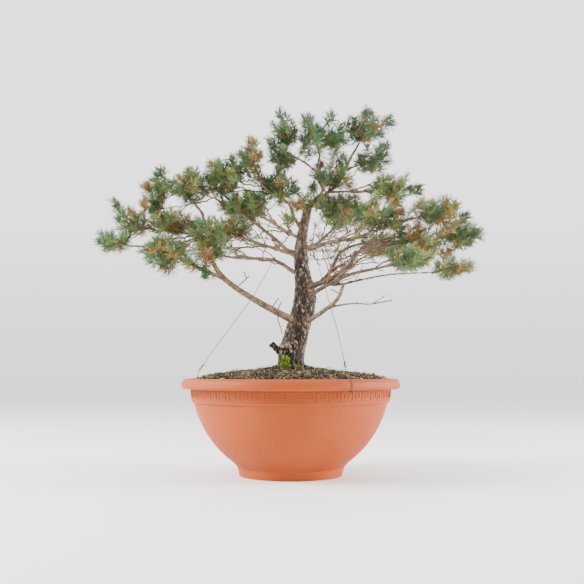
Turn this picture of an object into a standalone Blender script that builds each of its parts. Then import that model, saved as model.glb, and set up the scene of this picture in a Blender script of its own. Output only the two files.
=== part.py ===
"""A pine bonsai growing in a round plastic bowl, with two guy wires that pull its limbs down.

Metres, +Z up. The origin is the middle of the bowl's flat base. The tree's places are given from
the middle of the rim's plane, so the tree rises and sinks with the bowl's height.
"""
import math

import bmesh
import bpy
from mathutils import Vector, noise
from mathutils.bvhtree import BVHTree

# The bowl.
RIM_DIAMETER = 0.400
BOWL_HEIGHT = 0.1755
BOWL_WALL = 0.0045
FLOOR_THICKNESS = 0.006
RIM_OVERHANG = 0.0165
RIM_DEPTH = 0.0185
RIM_ROUNDING = 0.009
BAND_HEIGHT = 0.025
BAND_TAPER = 0.0035
BAND_LEDGE = 0.0032
FOOT_DIAMETER = 0.47 * RIM_DIAMETER
FOOT_HEIGHT = 0.017
FOOT_TAPER = 0.0035
NECK_ROUNDING = 0.007
DRAIN_HOLE_DIAMETER = 0.012
DRAIN_CIRCLE_DIAMETER = 0.110
DRAIN_HOLES = 6
BOWL_SEGMENTS = 40

# The soil.
SOIL_MOUND_HEIGHT = 0.027
SOIL_EDGE_DEPTH = 0.004
SOIL_ROUGHNESS = 0.002

# The tree.
TRUNK_DIAMETER = 0.044
STEM_SIDES = 7
TRUNK_SIDES = 12
ROOT_FLARE = 0.16
PAD_SEGMENTS = 10
PAD_RINGS = 7
PAD_LUMPINESS = 0.10

# The guy wires.
WIRE_DIAMETER = 0.0012

# The gap between solids that touch.
FIT_GAP = 0.0003

RIM_PLANE = Vector((0.0, 0.0, BOWL_HEIGHT))

for old in list(bpy.data.objects):
    bpy.data.objects.remove(old)


def material(name, colour, roughness, metallic=0.0):
    """A Principled material in a linear colour."""
    made = bpy.data.materials.new(name)
    made.use_nodes = True
    shader = made.node_tree.nodes["Principled BSDF"]
    shader.inputs["Base Color"].default_value = (*colour, 1.0)
    shader.inputs["Roughness"].default_value = roughness
    shader.inputs["Metallic"].default_value = metallic
    return made


TERRACOTTA_PLASTIC = material("terracotta_plastic", (0.72, 0.27, 0.14), 0.5)
SOIL_MIX = material("soil_mix", (0.07, 0.045, 0.03), 0.95)
OLD_BARK = material("old_bark", (0.15, 0.11, 0.08), 0.9)
YOUNG_BARK = material("young_bark", (0.30, 0.21, 0.12), 0.85)
PINE_NEEDLES = material("pine_needles", (0.05, 0.13, 0.05), 0.6)
WEED_LEAF = material("weed_leaf", (0.35, 0.42, 0.06), 0.7)
ZINC_WIRE = material("zinc_wire", (0.35, 0.35, 0.36), 0.4, 1.0)


def new_object(name, bm, look, smooth_angle=40.0):
    """An object from a bmesh, shaded smooth except over its sharp edges."""
    bmesh.ops.recalc_face_normals(bm, faces=bm.faces)
    mesh = bpy.data.meshes.new(name)
    bm.to_mesh(mesh)
    bm.free()
    mesh.materials.append(look)
    mesh.shade_smooth()
    mesh.set_sharp_from_angle(angle=math.radians(smooth_angle))
    made = bpy.data.objects.new(name, mesh)
    bpy.context.scene.collection.objects.link(made)
    return made


def as_cutter(made):
    """Marks an object as a tool that isn't part of the model."""
    made.hide_render = True
    made.display_type = "WIRE"
    return made


def surface_of(made):
    return BVHTree.FromPolygons(
        [vertex.co for vertex in made.data.vertices],
        [face.vertices for face in made.data.polygons])


def cut_clear(made, cutters):
    """Cuts each cutter that reaches the object out of it."""
    own_surface = surface_of(made)
    for cutter in cutters:
        if not own_surface.overlap(surface_of(cutter)):
            continue
        cut = made.modifiers.new("clear_of_" + cutter.name, "BOOLEAN")
        cut.operation = "DIFFERENCE"
        cut.solver = "EXACT"
        cut.object = cutter


def turned(bm, outline, segments):
    """Turns an outline of (radius, height) points, which starts and ends on the axis."""
    rings = []
    for radius, height in outline:
        if radius < 1e-6:
            rings.append([bm.verts.new((0.0, 0.0, height))])
            continue
        steps = [2 * math.pi * i / segments for i in range(segments)]
        rings.append([bm.verts.new((radius * math.cos(a), radius * math.sin(a), height)) for a in steps])
    for lower, upper in zip(rings, rings[1:]):
        for i in range(segments):
            corners = [lower[i % len(lower)], lower[(i + 1) % len(lower)],
                       upper[(i + 1) % len(upper)], upper[i % len(upper)]]
            bm.faces.new(list(dict.fromkeys(corners)))


# ---------------------------------------------------------------- bowl and soil

RIM_RADIUS = RIM_DIAMETER / 2
BAND_TOP_RADIUS = RIM_RADIUS - RIM_OVERHANG
BAND_BOTTOM_RADIUS = BAND_TOP_RADIUS - BAND_TAPER
BODY_TOP_RADIUS = BAND_BOTTOM_RADIUS - BAND_LEDGE
FOOT_RADIUS = FOOT_DIAMETER / 2
NECK_RADIUS = FOOT_RADIUS + FOOT_TAPER + NECK_ROUNDING
RIM_UNDERSIDE = BOWL_HEIGHT - RIM_DEPTH
BAND_BOTTOM = RIM_UNDERSIDE - BAND_HEIGHT
NECK_HEIGHT = FOOT_HEIGHT + NECK_ROUNDING


def body_arc(inset, steps=6):
    """The bowl's round side, from the neck up to the band, moved inward by inset.

    It is an arc centred at the rim's height, through the neck and the top of the body.
    """
    low, high = BOWL_HEIGHT - NECK_HEIGHT, BOWL_HEIGHT - BAND_BOTTOM
    centre = (BODY_TOP_RADIUS ** 2 - NECK_RADIUS ** 2 + high ** 2 - low ** 2) / (
        2 * (BODY_TOP_RADIUS - NECK_RADIUS))
    radius = math.hypot(BODY_TOP_RADIUS - centre, high) - inset
    heights = [low + (high - low) * (i / steps) ** 0.85 for i in range(steps + 1)]
    return [(centre + math.sqrt(radius ** 2 - h ** 2), BOWL_HEIGHT - h) for h in heights]


def inside_outline(clearance):
    """The bowl's inside, from the middle of its floor up to the band's bottom."""
    inset = BOWL_WALL + clearance
    floor = FLOOR_THICKNESS + clearance
    return [
        (0.0, floor),
        (FOOT_RADIUS - inset, floor),
        (FOOT_RADIUS + FOOT_TAPER - inset, FOOT_HEIGHT),
        *body_arc(inset)]


def build_bowl():
    skirt = BOWL_WALL * 0.8
    nose = RIM_RADIUS - RIM_ROUNDING
    rounding = [
        (nose + RIM_ROUNDING * math.cos(a), BOWL_HEIGHT - 1.3 * RIM_ROUNDING * (1 - math.sin(a)))
        for a in (0.0, math.pi / 6, math.pi / 3, math.pi / 2)]
    outline = [
        (0.0, 0.0),
        (FOOT_RADIUS - 0.0025, 0.0),
        (FOOT_RADIUS, 0.0025),
        (FOOT_RADIUS + FOOT_TAPER, FOOT_HEIGHT - 0.002),
        (FOOT_RADIUS + FOOT_TAPER + 0.3 * NECK_ROUNDING, FOOT_HEIGHT + 0.3 * NECK_ROUNDING),
        *body_arc(0.0),
        (BAND_BOTTOM_RADIUS, BAND_BOTTOM + 0.0012),
        (BAND_TOP_RADIUS, RIM_UNDERSIDE),
        (BAND_TOP_RADIUS, BOWL_HEIGHT - BOWL_WALL),
        (RIM_RADIUS - 2.2 * skirt, BOWL_HEIGHT - BOWL_WALL),
        (RIM_RADIUS - 1.2 * skirt, BOWL_HEIGHT - 2.2 * BOWL_WALL),
        (RIM_RADIUS - 1.2 * skirt, RIM_UNDERSIDE),
        (RIM_RADIUS - 0.3 * skirt, RIM_UNDERSIDE),
        *rounding,
        (BAND_TOP_RADIUS - BOWL_WALL + 0.0015, BOWL_HEIGHT),
        (BAND_TOP_RADIUS - BOWL_WALL, BOWL_HEIGHT - 0.0015),
        (BAND_BOTTOM_RADIUS - BOWL_WALL, BAND_BOTTOM + 0.005),
        *reversed(inside_outline(0.0))]
    bm = bmesh.new()
    turned(bm, outline, BOWL_SEGMENTS)
    bowl = new_object("bowl", bm, TERRACOTTA_PLASTIC, 30.0)
    holes = bmesh.new()
    for i in range(DRAIN_HOLES):
        angle = 2 * math.pi * (i + 0.5) / DRAIN_HOLES
        made = bmesh.ops.create_cone(
            holes, cap_ends=True, segments=10, radius1=DRAIN_HOLE_DIAMETER / 2,
            radius2=DRAIN_HOLE_DIAMETER / 2, depth=4 * FLOOR_THICKNESS)
        place = Vector((math.cos(angle), math.sin(angle), 0.0)) * (DRAIN_CIRCLE_DIAMETER / 2)
        bmesh.ops.translate(holes, verts=made["verts"], vec=place)
    cut_clear(bowl, [as_cutter(new_object("drain_holes", holes, TERRACOTTA_PLASTIC))])
    return bowl


def soil_top(radius):
    """How high the mound stands over the rim's plane at a distance from the trunk."""
    edge = BAND_TOP_RADIUS - BOWL_WALL - FIT_GAP
    share = min(radius / edge, 1.0)
    near_trunk = math.exp(-((radius / 0.045) ** 2))
    shoulder = 1.0 - share ** 6
    return SOIL_MOUND_HEIGHT * (0.62 * (1 - 0.55 * share) * shoulder + 0.38 * near_trunk) - (
        SOIL_EDGE_DEPTH * share ** 6)


def build_soil(sockets):
    edge = BAND_TOP_RADIUS - BOWL_WALL - FIT_GAP
    radii = [edge * share for share in (1.0, 0.96, 0.88, 0.76, 0.62, 0.48, 0.34, 0.22, 0.1)]
    outline = [
        *inside_outline(FIT_GAP),
        (BAND_BOTTOM_RADIUS - BOWL_WALL - FIT_GAP, BAND_BOTTOM + 0.005),
        *[(radius, BOWL_HEIGHT + soil_top(radius)) for radius in radii],
        (0.0, BOWL_HEIGHT + soil_top(0.0))]
    bm = bmesh.new()
    turned(bm, outline, BOWL_SEGMENTS)
    for vertex in bm.verts:
        inside = math.hypot(vertex.co.x, vertex.co.y) < 0.93 * edge
        if inside and vertex.co.z > BOWL_HEIGHT - SOIL_EDGE_DEPTH:
            vertex.co.z += SOIL_ROUGHNESS * noise.noise(vertex.co * 40.0)
    soil = new_object("soil", bm, SOIL_MIX, 60.0)
    cut_clear(soil, sockets)
    return soil


# ---------------------------------------------------------------- wood

def smooth_route(points, steps=2):
    """Points along a Catmull-Rom curve through the given points."""
    ends = [2 * points[0] - points[1], *points, 2 * points[-1] - points[-2]]
    route = []
    for a, b, c, d in zip(ends, ends[1:], ends[2:], ends[3:]):
        for i in range(steps):
            t = i / steps
            route.append(0.5 * (2 * b + (c - a) * t + (2 * a - 5 * b + 4 * c - d) * t ** 2
                                + (3 * b - a - 3 * c + d) * t ** 3))
    return [*route, points[-1]]


def stem_mesh(route, radii, sides, swell=0.0, flare=0.0):
    """A tapering closed tube along a route; flare gives the first rings the ridges of roots."""
    bm = bmesh.new()
    rings = []
    across = Vector((1.0, 0.0, 0.0))
    for i, place in enumerate(route):
        ahead = (route[min(i + 1, len(route) - 1)] - route[max(i - 1, 0)]).normalized()
        across = (across - ahead * across.dot(ahead)).normalized()
        up = ahead.cross(across)
        along = i / (len(route) - 1)
        radius = radii[0] + (radii[1] - radii[0]) * along if len(radii) == 2 else radii[i]
        ring = []
        for k in range(sides):
            angle = 2 * math.pi * k / sides
            ridge = 1.0 + flare * max(0.0, 1.0 - 3.5 * along) * math.cos(5 * angle + 0.6)
            reach = radius * ridge + swell
            ring.append(bm.verts.new(place + reach * (math.cos(angle) * across + math.sin(angle) * up)))
        rings.append(ring)
    for lower, upper in zip(rings, rings[1:]):
        for k in range(sides):
            after = (k + 1) % sides
            bm.faces.new((lower[k], lower[after], upper[after]))
            bm.faces.new((lower[k], upper[after], upper[k]))
    bm.faces.new(reversed(rings[0]))
    bm.faces.new(rings[-1])
    return bm


def lengthened(route, extra):
    """The route with both its ends moved outward."""
    first = route[0] + (route[0] - route[1]).normalized() * extra
    last = route[-1] + (route[-1] - route[-2]).normalized() * extra
    return [first, *route[1:-1], last]


stem_cutters = {}


def stem(name, parents, points, first_diameter, last_diameter):
    """A limb that starts inside its parents and is cut off at their surfaces."""
    route = smooth_route([RIM_PLANE + Vector(point) for point in points])
    radii = (first_diameter / 2, last_diameter / 2)
    made = new_object(name, stem_mesh(route, radii, STEM_SIDES), YOUNG_BARK, 60.0)
    stem_cutters[name] = as_cutter(new_object(
        name + "_cutter", stem_mesh(lengthened(route, FIT_GAP), radii, STEM_SIDES, FIT_GAP), YOUNG_BARK))
    cut_clear(made, [stem_cutters[parent] for parent in parents])
    return made


# The stubs of sawn-off limbs: points from the rim's plane, first and last radius over the trunk's
# diameter.
SAWN_STUBS = (
    (((0.002, -0.006, 0.036), (-0.006, -0.020, 0.050), (-0.014, -0.030, 0.062)), 0.26, 0.22),
    (((-0.006, -0.004, 0.034), (-0.022, -0.008, 0.051), (-0.037, -0.011, 0.064)), 0.17, 0.13))


def build_trunk():
    """The trunk with its root flare and the stubs of two old sawn-off limbs at its foot."""
    points = [
        (0.000, 0.000, -0.040), (-0.001, 0.000, 0.024), (0.004, -0.001, 0.060), (0.017, -0.004, 0.104),
        (0.027, -0.002, 0.148), (0.023, 0.004, 0.185), (0.018, 0.006, 0.230), (0.022, 0.003, 0.270),
        (0.029, 0.000, 0.305), (0.034, 0.000, 0.325)]
    shares = [0.95, 1.12, 1.04, 0.96, 0.94, 0.72, 0.58, 0.46, 0.38, 0.34]
    route = smooth_route([RIM_PLANE + Vector(point) for point in points])
    knots = smooth_route([Vector((share, 0.0, 0.0)) for share in shares])
    radii = [knot.x * TRUNK_DIAMETER / 2 for knot in knots]
    for name, swell in (("trunk", 0.0), ("trunk_cutter", FIT_GAP)):
        wood = stem_mesh(lengthened(route, swell), radii, TRUNK_SIDES, swell, ROOT_FLARE)
        made = new_object(name, wood, OLD_BARK, 60.0)
        for number, (stub_points, first_share, last_share) in enumerate(SAWN_STUBS):
            stub_route = lengthened([RIM_PLANE + Vector(point) for point in stub_points], swell)
            stub_radii = (first_share * TRUNK_DIAMETER, last_share * TRUNK_DIAMETER)
            stub_wood = stem_mesh(stub_route, stub_radii, STEM_SIDES + 1, swell)
            join = made.modifiers.new("sawn_stub", "BOOLEAN")
            join.operation = "UNION"
            join.solver = "EXACT"
            join.object = as_cutter(new_object(f"{name}_stub_{number}", stub_wood, OLD_BARK))
        if swell:
            stem_cutters["trunk"] = as_cutter(made)


def build_limbs():
    stem("limb_left_low", ["trunk"], [
        (0.015, -0.004, 0.100), (0.000, -0.020, 0.108), (-0.029, -0.038, 0.122),
        (-0.073, -0.052, 0.146), (-0.118, -0.064, 0.177), (-0.141, -0.070, 0.211),
        (-0.149, -0.068, 0.250), (-0.160, -0.060, 0.298), (-0.189, -0.050, 0.330),
        (-0.211, -0.041, 0.360)], 0.0160, 0.0036)
    stem("limb_left_low_reach", ["limb_left_low"], [
        (-0.118, -0.064, 0.177), (-0.157, -0.080, 0.193), (-0.200, -0.096, 0.212),
        (-0.237, -0.095, 0.230), (-0.290, -0.080, 0.235), (-0.322, -0.072, 0.245)], 0.0085, 0.0034)
    stem("limb_left_side", ["limb_left_low"], [
        (-0.149, -0.068, 0.250), (-0.179, -0.060, 0.259), (-0.226, -0.052, 0.266),
        (-0.267, -0.046, 0.273), (-0.306, -0.040, 0.299)], 0.0060, 0.0030)
    stem("limb_left_middle", ["trunk"], [
        (0.022, 0.005, 0.190), (0.000, 0.020, 0.203), (-0.032, 0.038, 0.225),
        (-0.083, 0.056, 0.230), (-0.121, 0.072, 0.235), (-0.167, 0.088, 0.250)], 0.0100, 0.0040)
    stem("limb_left_back", ["trunk"], [
        (0.019, 0.006, 0.222), (-0.006, 0.032, 0.239), (-0.044, 0.058, 0.253),
        (-0.098, 0.090, 0.276), (-0.142, 0.104, 0.298)], 0.0090, 0.0040)
    stem("limb_left_high", ["trunk"], [
        (0.018, 0.006, 0.232), (-0.007, -0.006, 0.238), (-0.030, -0.014, 0.258),
        (-0.069, -0.026, 0.287), (-0.096, -0.034, 0.303), (-0.137, -0.040, 0.328),
        (-0.150, -0.041, 0.352)], 0.0090, 0.0034)
    stem("limb_left_top", ["trunk"], [
        (0.023, 0.003, 0.275), (0.005, -0.006, 0.300), (-0.003, -0.010, 0.324),
        (-0.041, -0.020, 0.349), (-0.062, -0.028, 0.382), (-0.072, -0.031, 0.412)], 0.0085, 0.0034)
    stem("leader_right", ["trunk"], [
        (0.033, 0.000, 0.316), (0.051, 0.006, 0.336), (0.083, 0.012, 0.360),
        (0.102, 0.015, 0.393), (0.117, 0.018, 0.424), (0.133, 0.020, 0.452),
        (0.142, 0.022, 0.482)], 0.0090, 0.0040)
    stem("leader_left", ["trunk", "leader_right"], [
        (0.033, 0.000, 0.318), (0.047, -0.006, 0.335), (0.060, -0.011, 0.350),
        (0.048, -0.015, 0.383), (0.054, -0.014, 0.415), (0.045, -0.012, 0.445),
        (0.036, -0.010, 0.466)], 0.0085, 0.0036)
    stem("leader_left_fork", ["leader_left"], [
        (0.048, -0.015, 0.383), (0.026, -0.014, 0.402), (-0.002, -0.010, 0.419),
        (-0.016, -0.008, 0.435), (-0.015, -0.008, 0.462)], 0.0055, 0.0030)
    stem("leader_right_fork", ["leader_right"], [
        (0.102, 0.015, 0.393), (0.125, 0.028, 0.405), (0.150, 0.036, 0.412),
        (0.168, 0.039, 0.425)], 0.0052, 0.0030)
    stem("limb_right_upper", ["leader_right"], [
        (0.068, 0.009, 0.350), (0.112, -0.010, 0.348), (0.155, -0.030, 0.346),
        (0.195, -0.040, 0.362)], 0.0062, 0.0032)
    stem("limb_right_high", ["trunk"], [
        (0.019, 0.004, 0.245), (0.036, -0.008, 0.243), (0.079, -0.040, 0.249),
        (0.123, -0.062, 0.253), (0.158, -0.080, 0.265), (0.200, -0.095, 0.276),
        (0.241, -0.104, 0.289)], 0.0100, 0.0040)
    stem("limb_right_back", ["trunk"], [
        (0.027, 0.000, 0.160), (0.044, 0.016, 0.171), (0.068, 0.032, 0.193),
        (0.083, 0.044, 0.216), (0.096, 0.056, 0.243), (0.132, 0.070, 0.260),
        (0.160, 0.082, 0.260), (0.205, 0.095, 0.244)], 0.0100, 0.0036)
    stem("limb_right_back_fork", ["limb_right_back"], [
        (0.134, 0.070, 0.260), (0.190, 0.040, 0.262), (0.245, 0.010, 0.256),
        (0.292, -0.005, 0.262), (0.330, -0.010, 0.266)], 0.0048, 0.0030)
    stem("limb_right_middle", ["trunk"], [
        (0.025, 0.000, 0.168), (0.043, -0.022, 0.171), (0.079, -0.044, 0.182),
        (0.107, -0.054, 0.202), (0.117, -0.060, 0.225), (0.145, -0.072, 0.231),
        (0.174, -0.085, 0.238), (0.226, -0.095, 0.243), (0.258, -0.095, 0.257)], 0.0130, 0.0040)
    stem("limb_right_front", ["trunk"], [
        (0.027, -0.002, 0.146), (0.050, -0.038, 0.160), (0.084, -0.066, 0.176),
        (0.110, -0.086, 0.185), (0.148, -0.110, 0.191), (0.180, -0.123, 0.196),
        (0.215, -0.130, 0.198), (0.242, -0.130, 0.208)], 0.0090, 0.0036)
    stem("limb_right_long", ["limb_right_back"], [
        (0.056, 0.024, 0.182), (0.074, 0.023, 0.176), (0.098, 0.022, 0.177),
        (0.137, 0.024, 0.186), (0.191, 0.034, 0.197), (0.269, 0.048, 0.202),
        (0.315, 0.056, 0.210)], 0.0062, 0.0030)
    stem("limb_right_low", ["trunk"], [
        (0.017, -0.004, 0.104), (0.038, -0.030, 0.108), (0.063, -0.058, 0.124),
        (0.076, -0.074, 0.133), (0.086, -0.083, 0.146), (0.092, -0.090, 0.164)], 0.0100, 0.0068)
    stem("limb_right_low_side", ["limb_right_low"], [
        (0.066, -0.061, 0.126), (0.095, -0.078, 0.131), (0.118, -0.090, 0.132),
        (0.142, -0.100, 0.130), (0.165, -0.105, 0.146)], 0.0048, 0.0028)
    stem("limb_back_right", ["trunk"], [
        (0.018, 0.006, 0.236), (0.032, 0.036, 0.246), (0.042, 0.064, 0.252),
        (0.068, 0.100, 0.280), (0.100, 0.130, 0.312), (0.122, 0.144, 0.333)], 0.0100, 0.0040)
    stem("limb_back_left", ["trunk"], [
        (0.020, 0.005, 0.262), (0.000, 0.040, 0.275), (-0.030, 0.080, 0.300),
        (-0.070, 0.118, 0.330), (-0.092, 0.134, 0.350)], 0.0090, 0.0040)


# ---------------------------------------------------------------- foliage

# Each mass of shoots: its middle from the rim's plane, and its half sizes.
FOLIAGE = {
    "foliage_left_tip_low": ((-0.318, -0.068, 0.247), (0.033, 0.028, 0.017)),
    "foliage_left_tip": ((-0.292, -0.042, 0.288), (0.038, 0.030, 0.023)),
    "foliage_left_low": ((-0.220, -0.095, 0.221), (0.050, 0.034, 0.030)),
    "foliage_left_side": ((-0.222, -0.048, 0.282), (0.046, 0.034, 0.027)),
    "foliage_left_spire": ((-0.246, -0.032, 0.343), (0.020, 0.020, 0.040)),
    "foliage_left_rise": ((-0.190, -0.048, 0.349), (0.040, 0.032, 0.035)),
    "foliage_left_inner": ((-0.150, -0.064, 0.262), (0.038, 0.034, 0.028)),
    "foliage_left_high": ((-0.128, -0.030, 0.372), (0.043, 0.034, 0.033)),
    "foliage_left_shoot": ((-0.076, -0.031, 0.402), (0.026, 0.024, 0.042)),
    "foliage_left_centre": ((-0.085, -0.024, 0.318), (0.048, 0.034, 0.026)),
    "foliage_left_back": ((-0.118, 0.094, 0.296), (0.048, 0.038, 0.027)),
    "foliage_left_back_low": ((-0.165, 0.086, 0.252), (0.044, 0.034, 0.020)),
    "foliage_inner_top": ((-0.026, -0.016, 0.356), (0.034, 0.030, 0.026)),
    "foliage_top_left_low": ((-0.015, -0.010, 0.412), (0.028, 0.026, 0.026)),
    "foliage_top_left": ((-0.012, -0.008, 0.463), (0.025, 0.024, 0.029)),
    "foliage_top_middle": ((0.038, -0.012, 0.448), (0.026, 0.026, 0.038)),
    "foliage_top_right_middle": ((0.084, 0.010, 0.458), (0.028, 0.028, 0.037)),
    "foliage_top_right": ((0.146, 0.022, 0.481), (0.045, 0.034, 0.031)),
    "foliage_top_right_low": ((0.155, 0.035, 0.421), (0.036, 0.030, 0.026)),
    "foliage_leader": ((0.076, 0.002, 0.386), (0.036, 0.030, 0.026)),
    "foliage_centre": ((0.088, 0.022, 0.326), (0.042, 0.036, 0.026)),
    "foliage_right_upper": ((0.180, -0.036, 0.350), (0.040, 0.034, 0.028)),
    "foliage_right_middle": ((0.160, -0.074, 0.290), (0.046, 0.038, 0.028)),
    "foliage_right_outer_upper": ((0.260, -0.094, 0.296), (0.052, 0.038, 0.026)),
    "foliage_right_outer": ((0.312, -0.010, 0.265), (0.046, 0.038, 0.026)),
    "foliage_right_centre": ((0.218, -0.088, 0.246), (0.044, 0.036, 0.024)),
    "foliage_right_low": ((0.208, -0.124, 0.204), (0.040, 0.032, 0.018)),
    "foliage_right_tip_low": ((0.312, 0.052, 0.212), (0.038, 0.034, 0.022)),
    "foliage_right_back": ((0.186, 0.088, 0.258), (0.050, 0.038, 0.026)),
    "foliage_back_right": ((0.112, 0.136, 0.332), (0.052, 0.040, 0.030)),
    "foliage_back_left": ((-0.084, 0.128, 0.350), (0.050, 0.040, 0.030)),
}


def reach_along(half_sizes, direction):
    """How far an ellipsoid with these half sizes reaches along a unit direction."""
    return 1.0 / math.sqrt(sum((d / h) ** 2 for d, h in zip(direction, half_sizes)))


def pad_walls(name):
    """Planes midway between a foliage mass and its neighbours: (outward direction, distance)."""
    middle, half_sizes = Vector(FOLIAGE[name][0]), FOLIAGE[name][1]
    walls = []
    for other, (other_middle, other_sizes) in FOLIAGE.items():
        apart = Vector(other_middle) - middle
        if other == name or apart.length > 0.16:
            continue
        outward = apart.normalized()
        own, its = reach_along(half_sizes, outward), reach_along(other_sizes, outward)
        walls.append((outward, apart.length * own / (own + its) - FIT_GAP / 2))
    return walls


def build_foliage(name):
    """A lumpy ellipsoid that stays on its own side of the planes to its neighbours."""
    middle, half_sizes = FOLIAGE[name]
    walls = pad_walls(name)
    bm = bmesh.new()
    bmesh.ops.create_uvsphere(bm, u_segments=PAD_SEGMENTS, v_segments=PAD_RINGS, radius=1.0)
    for vertex in bm.verts:
        direction = Vector(c * h for c, h in zip(vertex.co, half_sizes))
        reach = direction.length
        direction.normalize()
        lump = noise.noise((Vector(middle) + direction * reach) * 28.0)
        reach *= 1.0 - PAD_LUMPINESS + PAD_LUMPINESS * lump
        for outward, distance in walls:
            facing = outward.dot(direction)
            if facing > 0.0:
                reach = min(reach, distance / facing)
        vertex.co = RIM_PLANE + Vector(middle) + direction * reach
    pad = new_object(name, bm, PINE_NEEDLES, 60.0)
    cut_clear(pad, list(stem_cutters.values()))
    return pad


WEED_MIDDLE = Vector((-0.011, -0.036, 0.028))
WEED_HALF_SIZES = (0.015, 0.012, 0.016)


def weed_mesh(swell):
    bm = bmesh.new()
    bmesh.ops.create_uvsphere(bm, u_segments=10, v_segments=6, radius=1.0)
    for vertex in bm.verts:
        shape = Vector(c * (half + swell) for c, half in zip(vertex.co, WEED_HALF_SIZES))
        vertex.co = RIM_PLANE + WEED_MIDDLE + shape
    return bm


def build_weed():
    """A low tuft of weed at the trunk's foot, pressed into the soil."""
    weed = new_object("weed_tuft", weed_mesh(0.0), WEED_LEAF, 60.0)
    cut_clear(weed, [stem_cutters["trunk"]])
    return weed


# ---------------------------------------------------------------- guy wires

def wire(name, points, diameter, look=ZINC_WIRE):
    """A round wire along a smooth curve through its points, with closed ends."""
    curve = bpy.data.curves.new(name, "CURVE")
    curve.dimensions = "3D"
    curve.bevel_depth = diameter / 2
    curve.bevel_resolution = 2
    curve.use_fill_caps = True
    route = smooth_route([RIM_PLANE + Vector(point) for point in points], steps=3)
    spline = curve.splines.new("POLY")
    spline.points.add(len(route) - 1)
    for point, place in zip(spline.points, route):
        point.co = (*place, 1.0)
    curve.materials.append(look)
    made = bpy.data.objects.new(name, curve)
    bpy.context.scene.collection.objects.link(made)
    return made


# From its hook round the limb, down to the soil beside the bowl's wall.
LEFT_WIRE = [
    (-0.0329, 0.0394, 0.2203), (-0.0309, 0.0423, 0.2226), (-0.0296, 0.0419, 0.2270),
    (-0.0304, 0.0382, 0.2297), (-0.0325, 0.0344, 0.2284), (-0.0345, 0.0332, 0.2240),
    (-0.0365, 0.0325, 0.2178), (-0.0500, 0.0210, 0.1900), (-0.0770, 0.0020, 0.1420),
    (-0.0980, -0.0140, 0.1110), (-0.1200, -0.0310, 0.0790), (-0.1620, -0.0605, 0.0150),
    (-0.1635, -0.0615, -0.0040), (-0.1635, -0.0615, -0.0200)]
# From its hook round the limb, down to the rim, over its nose and up under its lip.
RIGHT_WIRE = [
    (0.0432, 0.0661, 0.2467), (0.0385, 0.0675, 0.2490), (0.0368, 0.0659, 0.2538),
    (0.0395, 0.0627, 0.2571), (0.0443, 0.0605, 0.2560), (0.0473, 0.0606, 0.2515),
    (0.0490, 0.0590, 0.2455), (0.0530, 0.0300, 0.2110), (0.0640, -0.0120, 0.1650),
    (0.0730, -0.0500, 0.1230), (0.0820, -0.0880, 0.0830), (0.0920, -0.1450, 0.0200),
    (0.0935, -0.1560, 0.0060), (0.0967, -0.1641, 0.0012), (0.0997, -0.1693, -0.0014),
    (0.1017, -0.1726, -0.0062), (0.1020, -0.1732, -0.0125), (0.1018, -0.1727, -0.0180),
    (0.1002, -0.1702, -0.0202), (0.0977, -0.1659, -0.0200), (0.0963, -0.1634, -0.0155),
    (0.0961, -0.1631, -0.0110)]


def build_wire_socket():
    """The hole in the soil that the left wire's lower end stands in."""
    foot = RIM_PLANE + Vector(LEFT_WIRE[-1])
    bm = bmesh.new()
    size = WIRE_DIAMETER / 2 + 2 * FIT_GAP
    bmesh.ops.create_cone(bm, cap_ends=True, segments=8, radius1=size, radius2=size, depth=0.05)
    bmesh.ops.translate(bm, verts=bm.verts, vec=foot + Vector((0.0, 0.0, 0.025 - FIT_GAP)))
    return as_cutter(new_object("wire_socket", bm, SOIL_MIX))


build_trunk()
build_limbs()
build_bowl()
weed_socket = as_cutter(new_object("weed_socket", weed_mesh(FIT_GAP), SOIL_MIX))
build_soil([stem_cutters["trunk"], build_wire_socket(), weed_socket])
for pad_name in FOLIAGE:
    build_foliage(pad_name)
build_weed()
wire("guy_wire_left", LEFT_WIRE, WIRE_DIAMETER)
wire("guy_wire_right", RIGHT_WIRE, WIRE_DIAMETER)
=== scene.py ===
"""The looks of a pine bonsai in a round plastic bowl with two guy wires. Metres, +Z up."""
import math
import random

import bmesh
import bpy
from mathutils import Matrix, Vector, noise
from mathutils.bvhtree import BVHTree
from mathutils.kdtree import KDTree


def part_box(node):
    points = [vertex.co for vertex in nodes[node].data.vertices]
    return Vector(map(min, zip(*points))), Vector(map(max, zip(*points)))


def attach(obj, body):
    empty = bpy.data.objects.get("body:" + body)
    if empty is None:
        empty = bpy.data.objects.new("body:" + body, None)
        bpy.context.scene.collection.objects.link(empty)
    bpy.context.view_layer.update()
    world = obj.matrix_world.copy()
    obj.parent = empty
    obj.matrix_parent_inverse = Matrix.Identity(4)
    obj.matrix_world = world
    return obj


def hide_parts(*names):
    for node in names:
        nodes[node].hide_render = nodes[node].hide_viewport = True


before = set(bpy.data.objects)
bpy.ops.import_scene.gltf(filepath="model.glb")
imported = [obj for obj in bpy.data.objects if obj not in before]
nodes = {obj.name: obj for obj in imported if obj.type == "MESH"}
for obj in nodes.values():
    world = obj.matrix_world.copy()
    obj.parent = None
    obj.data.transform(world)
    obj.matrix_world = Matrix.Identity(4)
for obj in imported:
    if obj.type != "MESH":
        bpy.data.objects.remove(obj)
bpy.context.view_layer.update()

# ------------------------------------------------------------------ camera and floor
# The camera stands just above the rim and looks slightly up, so the foot of the bowl and the
# top of the crown both fit. The floor is a plain pale board.

CAMERA_PLACE = (0.0022, -1.600, 0.191)
CAMERA_TILT = math.radians(5.16)
CAMERA_LENS = 53.25


def linked(name, data):
    """A new object, linked into the scene."""
    made = bpy.data.objects.new(name, data)
    bpy.context.scene.collection.objects.link(made)
    return made


def mesh_from(bm, name):
    """A mesh made of a bmesh, which is freed."""
    mesh = bpy.data.meshes.new(name)
    bm.to_mesh(mesh)
    bm.free()
    return mesh


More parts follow.
